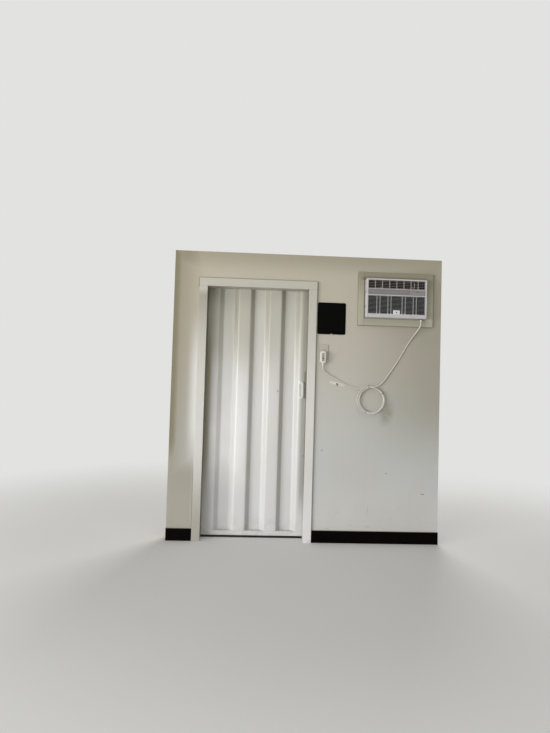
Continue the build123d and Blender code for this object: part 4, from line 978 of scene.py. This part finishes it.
def sheet_recipe(material):
    """Corrugated sheet standing between two corners: flats and slopes by pitch, with rounded bends."""
    made = Recipe("corrugated_" + material.name, low="point", high="point", columns="count", pitch="size",
                  start="size", ridge="size", run="size", swing="size", rounding="size", thickness="size")
    given = made.given
    extent = made.parts(made.vector("SUBTRACT", given["high"], given["low"]))
    middle = made.vector("SCALE", made.vector("ADD", given["low"], given["high"]), 0.5)
    cuts = {"Size X": extent["X"], "Size Y": extent["Z"], "Vertices X": given["columns"], "Vertices Y": 3}
    flat = made.add("GeometryNodeMeshGrid", cuts)["Mesh"]
    upright = {"Geometry": flat, "Translation": middle, "Rotation": (math.pi / 2, 0.0, 0.0)}
    standing = made.add("GeometryNodeTransform", upright)[0]
    along = made.parts(made.add("GeometryNodeInputPosition")[0])["X"]
    turns = made.maths("DIVIDE", made.maths("SUBTRACT", along, given["start"]), given["pitch"])
    across = made.maths("MULTIPLY", made.maths("FRACT", turns), given["pitch"])
    half_ridge = made.maths("MULTIPLY", given["ridge"], 0.5)
    from_ridge = made.maths("ABSOLUTE", made.maths("SUBTRACT", across, half_ridge))
    to_next = made.maths("SUBTRACT", made.maths("SUBTRACT", across, given["pitch"]), half_ridge)
    nearest = made.maths("MINIMUM", from_ridge, made.maths("ABSOLUTE", to_next))
    half_run = made.maths("MULTIPLY", given["run"], 0.5)
    rise = made.maths("DIVIDE", made.maths("SUBTRACT", half_ridge, nearest), half_run)
    rounded = made.maths("SMOOTH_MIN", rise, 1.0, given["rounding"])
    depth = made.maths("MULTIPLY", made.maths("SMOOTH_MAX", rounded, -1.0, given["rounding"]), given["swing"])
    bent = made.shift(standing, made.built({1: depth}))
    back = made.maths("MULTIPLY", given["thickness"], -0.5)
    first = made.shift(bent, made.vector("SCALE", made.add("GeometryNodeInputNormal")[0], back))
    pushed = {"Mesh": first, "Offset Scale": given["thickness"], "Individual": False}
    second = made.add("GeometryNodeExtrudeMesh", pushed, mode="FACES")["Mesh"]
    both = made.joined(second, made.add("GeometryNodeFlipFaces", {"Mesh": first})[0])
    closed = made.add("GeometryNodeMergeByDistance", {"Geometry": both, "Distance": 0.00005})[0]
    made.paint(closed, material)
    return made.end()


def points_mesh(name, places, aim):
    """A host of loose points that all aim one way, or each its own."""
    mesh = bpy.data.meshes.new(name)
    mesh.from_pydata(places, [], [])
    aims = [aim] * len(places) if isinstance(aim[0], (int, float)) else aim
    attribute = mesh.attributes.new("aim", "FLOAT_VECTOR", "POINT")
    attribute.data.foreach_set("vector", [part for one in aims for part in one])
    return mesh


def lines_mesh(name, lines):
    """A host of separate straight edges."""
    mesh = bpy.data.meshes.new(name)
    ends = [place for line in lines for place in line]
    mesh.from_pydata(ends, [(at, at + 1) for at in range(0, len(ends), 2)], [])
    return mesh


# Screws and nails

HEADS = {}


def add_heads(name, places, aim, radius, proud, material, cup=0.0008, seed=1):
    """Screw or nail heads at places on a surface. They stand proud of it and go as deep into it."""
    if material.name not in HEADS:
        HEADS[material.name] = heads_recipe(material)
    host = points_mesh(name, places, aim)
    piece = made_by(HEADS[material.name], name, host, radius=radius, height=2 * proud, cup=cup, seed=seed)
    settle(piece)


def add_nails(name, places, material, radius=0.0026, proud=0.0003, cup=0.0001):
    """Nail heads almost flush with the boards, painted over."""
    add_heads(name, places, INTO_ROOM, radius, proud, material, cup)


def grid(across, y, up):
    """Places at one depth, column by column."""
    return [(x, y, z) for x in across for z in up]


def clear_of(place, boxes, margin):
    """Whether a place on the wall is outside all of the boxes by a margin."""
    x, z = place[0], place[2]
    return all(x < low.x - margin or x > high.x + margin or z < low.z - margin or z > high.z + margin
               for low, high in boxes)


def add_fixings():
    """Nail and screw heads of the lining, casing, trim, base boards, cover, air conditioner and studs."""
    names = ("casing_left", "casing_right", "casing_head", "base_board_left", "base_board_right",
             "breaker_cover", "outlet_plate", "ac_trim_sides")
    covered = [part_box(name) for name in names]
    covered.append((Vector((DOOR_LEFT, 0, 0)), Vector((DOOR_RIGHT, 0, LEAF_HIGH.z))))
    columns = (WALL_LEFT + 0.018, -0.46, -0.12, 0.305, 0.419, 0.68, 0.945, WALL_RIGHT - 0.018)
    foot, pitch = 0.16, 0.292
    places = grid(columns, LINING_FACE, [foot + pitch * level for level in range(8)])
    places = [place for place in places if clear_of(place, covered, 0.012)]
    add_nails("lining_nails", places, PAINTS["wall_paint"], radius=0.0034)
    columns = (DOOR_LEFT - 0.014, DOOR_LEFT - 0.05, DOOR_RIGHT + 0.014, DOOR_RIGHT + 0.05)
    foot, pitch = 0.20, 0.44
    places = grid(columns, CASING_FACE, [foot + pitch * level for level in range(5)])
    places += grid((-0.70, -0.40, -0.10), CASING_FACE, (1.998, 2.034))
    add_nails("casing_nails", places, TRIM_PAINT)
    inset = 0.020
    foot, half_way, top = TRIM_LOW.z + inset, (TRIM_LOW.z + TRIM_HIGH.z) / 2, TRIM_HIGH.z - inset
    places = grid((TRIM_LOW.x + inset, TRIM_HIGH.x - inset), CASING_FACE, (foot, half_way, top))
    places += grid((0.56, 0.80), CASING_FACE, (foot, top))
    add_nails("ac_trim_nails", places, AC_TRIM_PAINT)
    places = grid((-1.03, -0.92, 0.12, 0.42, 0.72, 1.02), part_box("base_board_right")[0].y, (0.022, 0.074))
    add_nails("base_nails", places, PAINTS["black_base"])
    rim = 0.009
    places = grid((COVER_LOW.x + rim, COVER_HIGH.x - rim), COVER_LOW.y + 0.005,
                  (COVER_LOW.z + rim, COVER_HIGH.z - rim))
    add_heads("cover_screws", places, INTO_ROOM, 0.0036, 0.0014, PAINTS["panel_black"], seed=3)
    bare = ((0.131, 0.717), (0.644, 0.547), (0.9325, 0.390), (0.9475, 0.389), (0.236, 1.243), (0.243, 1.238))
    places = [(x, LINING_FACE, z) for x, z in bare]
    add_heads("bare_wall_screws", places, INTO_ROOM, 0.0042, 0.0018, SMALL_DARK, seed=4)
    side_screw_depth = -0.175
    places = grid((FRONT_LOW.x,), side_screw_depth, (1.979, 1.860))
    add_heads("ac_side_screws", places, (-1.0, 0.0, 0.0), 0.0055, 0.0028, SMALL_DARK, seed=5)
    end_face = 1.0645
    places = [(side * end_face, y, z) for side in (-1, 1) for y in (-0.045, -0.094) for z in (0.056, 2.204)]
    aims = [(math.copysign(1.0, place[0]), 0.0, 0.0) for place in places]
    add_heads("end_stud_nails", places, aims, 0.0042, 0.0005, SCREW_STEEL, cup=0.0001, seed=6)


def add_outside_fixings():
    """Bolts of the air conditioner's angle frame and screws along its case."""
    low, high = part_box("ac_steel_frame")
    edge = 0.0125
    places = grid((low.x + edge, high.x - edge), high.y, (1.79, 1.93, 2.07))
    places += grid((0.52, 0.68, 0.84), high.y, (low.z + edge, high.z - edge))
    add_heads("ac_frame_bolts", places, OUT_OF_CABIN, 0.0062, 0.0036, SCREW_STEEL,
              cup=0.0016, seed=7)
    screw_line = 0.179
    places = grid((CASE_LOW.x, CASE_HIGH.x), screw_line, (1.80, 1.93, 2.055))
    aims = [(-1.0 if place[0] == CASE_LOW.x else 1.0, 0.0, 0.0) for place in places]
    add_heads("ac_case_screws", places, aims, 0.0036, 0.0014, SCREW_STEEL, seed=8)


# Welds

def on_flats(left, right, z, y):
    """Edges along the parts of the skin's outer flats that lie between left and right."""
    lines = []
    for middle in FLAT_MIDDLES:
        low, high = max(middle - FLAT_HALF, left), min(middle + FLAT_HALF, right)
        if high - low > 0.012:
            lines.append(((low + 0.004, y, z), (high - 0.004, y, z)))
    return lines


def stitches(x, y, z_low, z_high, length, every):
    """Short upright edges, one above the other."""
    lines = []
    z = z_low
    while z + length < z_high:
        lines.append(((x, y, z), (x, y, z + length)))
        z += every
    return lines


def plate_edges(x_free, x_near, y, z_low, z_high):
    """Edges round the free end of a hinge plate."""
    return [((x_free, y, z_low), (x_free, y, z_high)), ((x_free, y, z_low), (x_near, y, z_low)),
            ((x_free, y, z_high), (x_near, y, z_high))]


def add_welds():
    """Weld beads outside: skin to frame, angle frame to skin, and hinge plates to jamb and leaf."""
    tree = weld_recipe(PAINTS["frame_steel"])

    def beads(name, lines, step, radius, seed, body):
        piece = made_by(tree, name, lines_mesh(name, lines), step=step, radius=radius, seed=seed)
        settle(piece, body, smooth=True)

    tubes_low, tubes_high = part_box("jamb_tubes")
    frame_low, frame_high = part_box("ac_steel_frame")
    near, groove = STEEL_OUTER - 0.0016, -0.0125
    lines = stitches(tubes_low.x, near, 0.02, 2.2, 0.07, 0.20)
    lines += stitches(tubes_high.x, groove, 0.02, 2.2, 0.07, 0.20)
    lines += on_flats(WALL_LEFT, tubes_low.x, SILL_TOP, near)
    lines += on_flats(tubes_high.x, WALL_RIGHT, SILL_TOP, near)
    lines += on_flats(WALL_LEFT, WALL_RIGHT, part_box("top_rail")[0].z, near)
    lines += on_flats(LEAF_LOW.x, LEAF_HIGH.x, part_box("head_tube")[1].z, near)
    for z in (frame_low.z, frame_high.z):
        lines += on_flats(frame_low.x, frame_high.x, z, near)
    beads("skin_welds", lines, 0.0042, 0.0040, 11, "wall")
    jamb, leaf = [], []
    jamb_edge, leaf_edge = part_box("hinge_jamb_halves")[0].x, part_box("hinge_leaf_halves")[1].x
    plate, half, gap, face = 0.028, 0.048, 0.001, STEEL_OUTER + 0.0008
    for foot in (0.260, 1.020, 1.780):
        split = foot + half + gap
        jamb += plate_edges(jamb_edge, jamb_edge + plate, face, foot, foot + half)
        leaf += plate_edges(leaf_edge, leaf_edge - plate, face, split, split + half)
    beads("jamb_hinge_welds", jamb, 0.0036, 0.0034, 12, "wall")
    for x in (PANEL_LOW.x, PANEL_HIGH.x):
        leaf += stitches(x, near, 0.06, 1.98, 0.05, 0.24)
    beads("leaf_welds", leaf, 0.0036, 0.0034, 13, "door")


# Sheets, condenser and small parts

def add_sheet(tree, name, node, low, high, body="wall"):
    """A corrugated sheet between two corners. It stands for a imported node, with its bends rounded."""
    low = (low[0] + SHEET_THICKNESS / 2, 0.0, low[2])
    high = (high[0] - SHEET_THICKNESS / 2, 0.0, high[2])
    columns = int((high[0] - low[0]) / SHEET_STEP) + 2
    host = points_mesh(name, [(0.0, 0.0, 0.0)], OUT_OF_CABIN)
    piece = made_by(tree, name, host, low=low, high=high, columns=columns, pitch=CORRUGATION_PITCH,
                    start=RIDGE_START, ridge=2 * RIDGE_HALF, run=SLOPE_RUN, swing=SKIN_SWING,
                    rounding=BEND_ROUNDING, thickness=SHEET_THICKNESS)
    settle(piece, body, smooth=True)
    piece.data.set_sharp_from_angle(angle=math.radians(40))
    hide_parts(node)


def add_sheets():
    """The leaf's panel and the wall's skin, which leaves the air conditioner's opening free."""
    add_sheet(sheet_recipe(PAINTS["cream_steel"]), "leaf_sheet", "leaf_panel", PANEL_LOW, PANEL_HIGH, "door")
    tree = sheet_recipe(SKIN_PAINT)
    for node in ("skin_left", "skin_over_door", "skin_middle", "skin_right"):
        add_sheet(tree, node + "_sheet", node, *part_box(node))
    low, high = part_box("skin_at_ac")
    add_sheet(tree, "skin_below_ac_sheet", "skin_at_ac", low, (high.x, 0.0, AC_OPENING[0]))
    add_sheet(tree, "skin_above_ac_sheet", "skin_at_ac", (low.x, 0.0, AC_OPENING[1]), high)


def add_condenser():
    """Fins and tubes in place of the plain block at the back of the air conditioner."""
    low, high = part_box("ac_condenser")
    tree = condenser_recipe(PAINTS["coil_fins"], COPPER)
    host = points_mesh("condenser", [(0.0, 0.0, 0.0)], OUT_OF_CABIN)
    piece = made_by(tree, "condenser", host, low=tuple(low), high=tuple(high), fins=168, tubes=9,
                    thickness=0.0009, bend=0.0045, tube_radius=0.0046, seed=2)
    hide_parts("ac_condenser")
    settle(piece)


def add_sealant():
    """Sealing bead where the case comes out through its angle frame."""
    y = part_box("ac_steel_frame")[1].y
    left, right = CASE_LOW.x - 0.0015, CASE_HIGH.x + 0.0015
    foot, top = CASE_LOW.z - 0.0010, CASE_HIGH.z + 0.0015
    line = [(left, y, foot), (right, y, foot), (right, y, top), (left, y, top)]
    settle(swept("ac_sealant", [line], 0.0048, closed=True), material=CAULK, smooth=True)


def add_shapes(name, material, blocks=(), rods=()):
    """A piece of blocks (low, high, ease) and round rods (centre, direction, radius, length, sides)."""
    def build(shape):
        for block in blocks:
            add_block(shape, *block)
        for rod in rods:
            add_rod(shape, *rod)
    settle(mesh_from(name, build), material=material)


def add_ac_details():
    """Deflector levers, control flap, marks, grille nubs and the lead's grommet on the front; the grommet's
    dark ring is partly painted shade of the hole round the lead.
    """
    front = BLOW_LOW.y - 0.0010
    hook = 0.008
    levers = []
    for x, foot in ((0.566, BLOW_LOW.z + 0.010), (0.822, BLOW_LOW.z + 0.017)):
        line = [(x, front, BLOW_LOW.z + 0.052)]
        for step in range(7):
            angle = math.radians(-160 * step / 6)
            line.append((x - hook + hook * math.cos(angle), front, foot + 0.004 + hook * math.sin(angle)))
        levers.append(line)
    levers = swept("deflector_levers", levers, 0.0018)
    settle(levers, material=PAINTS["outlet_plastic"], smooth=True)
    band = FRONT_LOW.y + 0.0012
    foot, top = INTAKE_HIGH.z + 0.006, BLOW_LOW.z - 0.003
    flap = ((0.786, band - 0.0009, foot + 0.003), (0.903, band + 0.001, top - 0.003), 0.0004)
    rib = ((FRONT_LOW.x + 0.030, band - 0.0006, foot + 0.021), (0.770, band + 0.001, foot + 0.0235), 0.0003)
    add_shapes("control_flap", BAND_PLASTIC, [flap, rib])
    marks = [((x, band - 0.0007, z), INTO_ROOM, radius, 0.0008, 12)
             for x, z, radius in ((0.470, 1.966, 0.0026), (0.839, 1.981, 0.0026), (0.852, 1.983, 0.0030))]
    tab_dimple = (INTAKE_MIDDLE, INTAKE_LOW.y - 0.0002, INTAKE_LOW.z + 0.015)
    marks.append((tab_dimple, INTO_ROOM, 0.0056, 0.0008, 16))
    add_shapes("front_marks", PAINTS["ac_dark"], rods=marks)
    nubs = []
    for offset in (-0.157, -0.132, -0.069, -0.044, 0.044, 0.069, 0.132, 0.157):
        x = INTAKE_MIDDLE + offset
        nubs.append(((x - 0.0045, INTAKE_LOW.y - 0.0018, INTAKE_LOW.z),
                     (x + 0.0045, INTAKE_LOW.y + 0.001, INTAKE_LOW.z + 0.006), 0.0006))
    add_shapes("intake_nubs", PAINTS["ac_plastic"], nubs)
    # A dark ring round the lead: a grommet, and partly painted shade of the hole that it leaves by.
    place = (RELIEF_LOW.x + 0.009, RELIEF_LOW.y + 0.009, RELIEF_HIGH.z - 0.0015)
    add_shapes("lead_grommet_and_hole_shade", SMALL_DARK, rods=[(place, (0, 0, 1), 0.0125, 0.005, 20)])


def add_outlet_slots():
    """Blade slots and round hole of the free socket above the plug: dark blocks that stand for the openings,
    as painted shade.
    """
    x = (PLATE_LOW.x + PLATE_HIGH.x) / 2
    z = (PLATE_LOW.z + PLATE_HIGH.z) / 2 + 0.0195
    face = PLATE_LOW.y
    slots = []
    for side, half in ((x - 0.0064, 0.0042), (x + 0.0064, 0.0036)):
        slots.append(((side - 0.0010, face - 0.0002, z + 0.003 - half),
                      (side + 0.0010, face + 0.003, z + 0.003 + half), 0.0003))
    hole = ((x, face + 0.0013, z - 0.0075), INTO_ROOM, 0.0024, 0.003, 14)
    add_shapes("outlet_slots", SMALL_DARK, slots, [hole])


# The lead

def tie_lines():
    """Loops round both turns of the coil, across it."""
    middle = (COIL_OUTER_RADIUS + COIL_INNER_RADIUS) / 2
    half = (COIL_OUTER_RADIUS - COIL_INNER_RADIUS) / 2 + 0.0010
    radius = LEAD_DIAMETER / 2 + 0.0009
    loops = []
    for degrees in TIE_DEGREES:
        angle = math.radians(degrees)
        loop = []
        for step in range(TIE_STEPS):
            around = 2 * math.pi * step / TIE_STEPS
            out = middle + half * (1 if math.cos(around) > 0 else -1) + radius * math.cos(around)
            loop.append((COIL_CENTRE[0] + out * math.cos(angle), COIL_FRONT + radius * math.sin(around),
                         COIL_CENTRE[1] + out * math.sin(angle)))
        loops.append(loop)
    return loops


def coil_points():
    """The tied turns: a flat spiral inwards whose last part dives behind to leave at the top."""
    points = []
    swell = 1 / math.cos(math.pi / COIL_POINTS_A_TURN)
    for step in range(COIL_POINTS_A_TURN * COIL_TURNS + 1):
        done = step / COIL_POINTS_A_TURN
        angle = math.radians(COIL_START_DEGREES + 360 * done)
        inward = min(max(done - EVEN_TURN, 0.0), 1.0)
        arriving = max(0.0, 1 - done / ARRIVAL_TURN)
        diving = min(max((done - COIL_TURNS + DIVE_BEFORE_END) / DIVE_TURN, 0.0), 1.0)
        radius = COIL_OUTER_RADIUS + (COIL_INNER_RADIUS - COIL_OUTER_RADIUS) * inward
        radius = radius + ARRIVAL_SHIFT * arriving + DIVE_SHIFT * diving
        x = COIL_CENTRE[0] + COIL_LEAN[0] * inward + swell * radius * math.cos(angle)
        z = COIL_CENTRE[1] + COIL_LEAN[1] * inward + swell * radius * math.sin(angle)
        points.append((x, COIL_FRONT + (COIL_BACK - COIL_FRONT) * diving, z))
    return points


def lead_curve():
    """The whole lead as one open NURBS curve, from the air conditioner through the coil to the plug."""
    data = bpy.data.curves.new("lead", "CURVE")
    data.dimensions = "3D"
    data.bevel_depth = LEAD_DIAMETER / 2
    data.bevel_resolution = 3
    data.resolution_u = 8
    data.use_fill_caps = True
    line = data.splines.new("NURBS")
    route = UPPER_ROUTE + coil_points() + LOWER_ROUTE
    line.points.add(len(route) - 1)
    for point, place in zip(line.points, route):
        point.co = (*place, 1.0)
    line.order_u = 3
    line.use_endpoint_u = True
    data.materials.append(PAINTS["cord_plastic"])
    lead = link_object("lead", data)
    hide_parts("cord_upper", "cord_coil", "cord_lower")
    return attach(lead, "wall")


# Lights, floor and background

AMBIENT = 0.30
BACKGROUND = linear(226, 226, 224)
FLOOR_HALF = 40.0
FLOOR_GAP = 0.0005


def viewed(tree):
    """1 for rays that show the background to the camera, straight, mirrored or through something clear."""
    ray = put(tree, "ShaderNodeLightPath")
    share = ray["Is Camera Ray"]
    for other in ("Is Glossy Ray", "Is Transmission Ray"):
        share = put(tree, "ShaderNodeMath", {0: share, 1: ray[other]}, operation="MAXIMUM")[0]
    return share


def add_light(name, place, aim, width, height, power, colour=(1, 1, 1)):
    data = bpy.data.lights.new(name, "AREA")
    data.shape = "RECTANGLE"
    data.size = width
    data.size_y = height
    data.energy = power
    data.color = colour
    lamp = link_object(name, data)
    lamp.location = place
    direction = Vector(aim) - Vector(place)
    lamp.rotation_euler = direction.to_track_quat("-Z", "Y").to_euler()
    lamp.visible_camera = False


def add_world():
    world = bpy.data.worlds.new("pale_world")
    world.use_nodes = True
    scene.world = world
    tree = world.node_tree
    light = tree.nodes["Background"]
    light.inputs["Color"].default_value = linear(250, 248, 244)
    light.inputs["Strength"].default_value = AMBIENT
    seen = put(tree, "ShaderNodeBackground", {"Color": BACKGROUND, "Strength": 1.0})[0]
    both = put(tree, "ShaderNodeMixShader", {0: viewed(tree), 1: light.outputs[0], 2: seen})[0]
    tree.links.new(both, tree.nodes["World Output"].inputs["Surface"])


def stage_paint():
    """Pale floor that fades into the pale background away from the wall."""
    made = Surface("stage_pale", roughness=0.9, specular=0.1)
    made.base((224, 224, 222), (228, 228, 226), 0.8)
    share = made.times(made.spread(made.length(made.place), 1.5, 4.5), viewed(made.tree))
    glow = made.add("ShaderNodeEmission", {"Color": BACKGROUND, "Strength": 1.0})[0]
    both = made.add("ShaderNodeMixShader", {0: share, 1: made.shader.outputs[0], 2: glow})[0]
    made.tree.links.new(both, made.tree.nodes["Material Output"].inputs["Surface"])
    return made.finished()


def add_floor():
    def build(shape):
        place = Matrix.Translation((0, 0, -FLOOR_GAP))
        bmesh.ops.create_grid(shape, x_segments=2, y_segments=2, size=FLOOR_HALF, matrix=place)
    floor = mesh_from("floor", build)
    floor.data.materials.append(stage_paint())


add_camera()
add_world()
add_floor()
add_light("window_side_light", (-8.9, -5.7, 0.9), (0.1, 0.0, 0.8), 3.2, 3.2, 560.0, (1.0, 1.0, 0.985))
add_light("left_light", (-3.8, -5.0, 0.8), (0.0, 0.0, 0.8), 2.0, 2.0, 125.0, (1.0, 1.0, 0.99))
add_light("front_light", (-0.45, -4.9, 0.85), (-0.1, 0.0, 0.8), 1.3, 1.3, 15.0)
add_light("high_light", (0.0, -2.5, 4.5), (0.0, 0.0, 0.6), 4.0, 3.0, 38.0)
add_light("outside_light", (1.5, 4.5, 4.5), (0.0, 0.1, 1.0), 3.0, 3.0, 190.0)

dress_cad_nodes()
lead = lead_curve()
ties = swept("lead_ties", tie_lines(), 0.0011, closed=True)
settle(ties, material=SMALL_DARK, smooth=True)

add_sheets()
add_fixings()
add_outside_fixings()
add_welds()
add_condenser()
add_sealant()
add_ac_details()
add_outlet_slots()
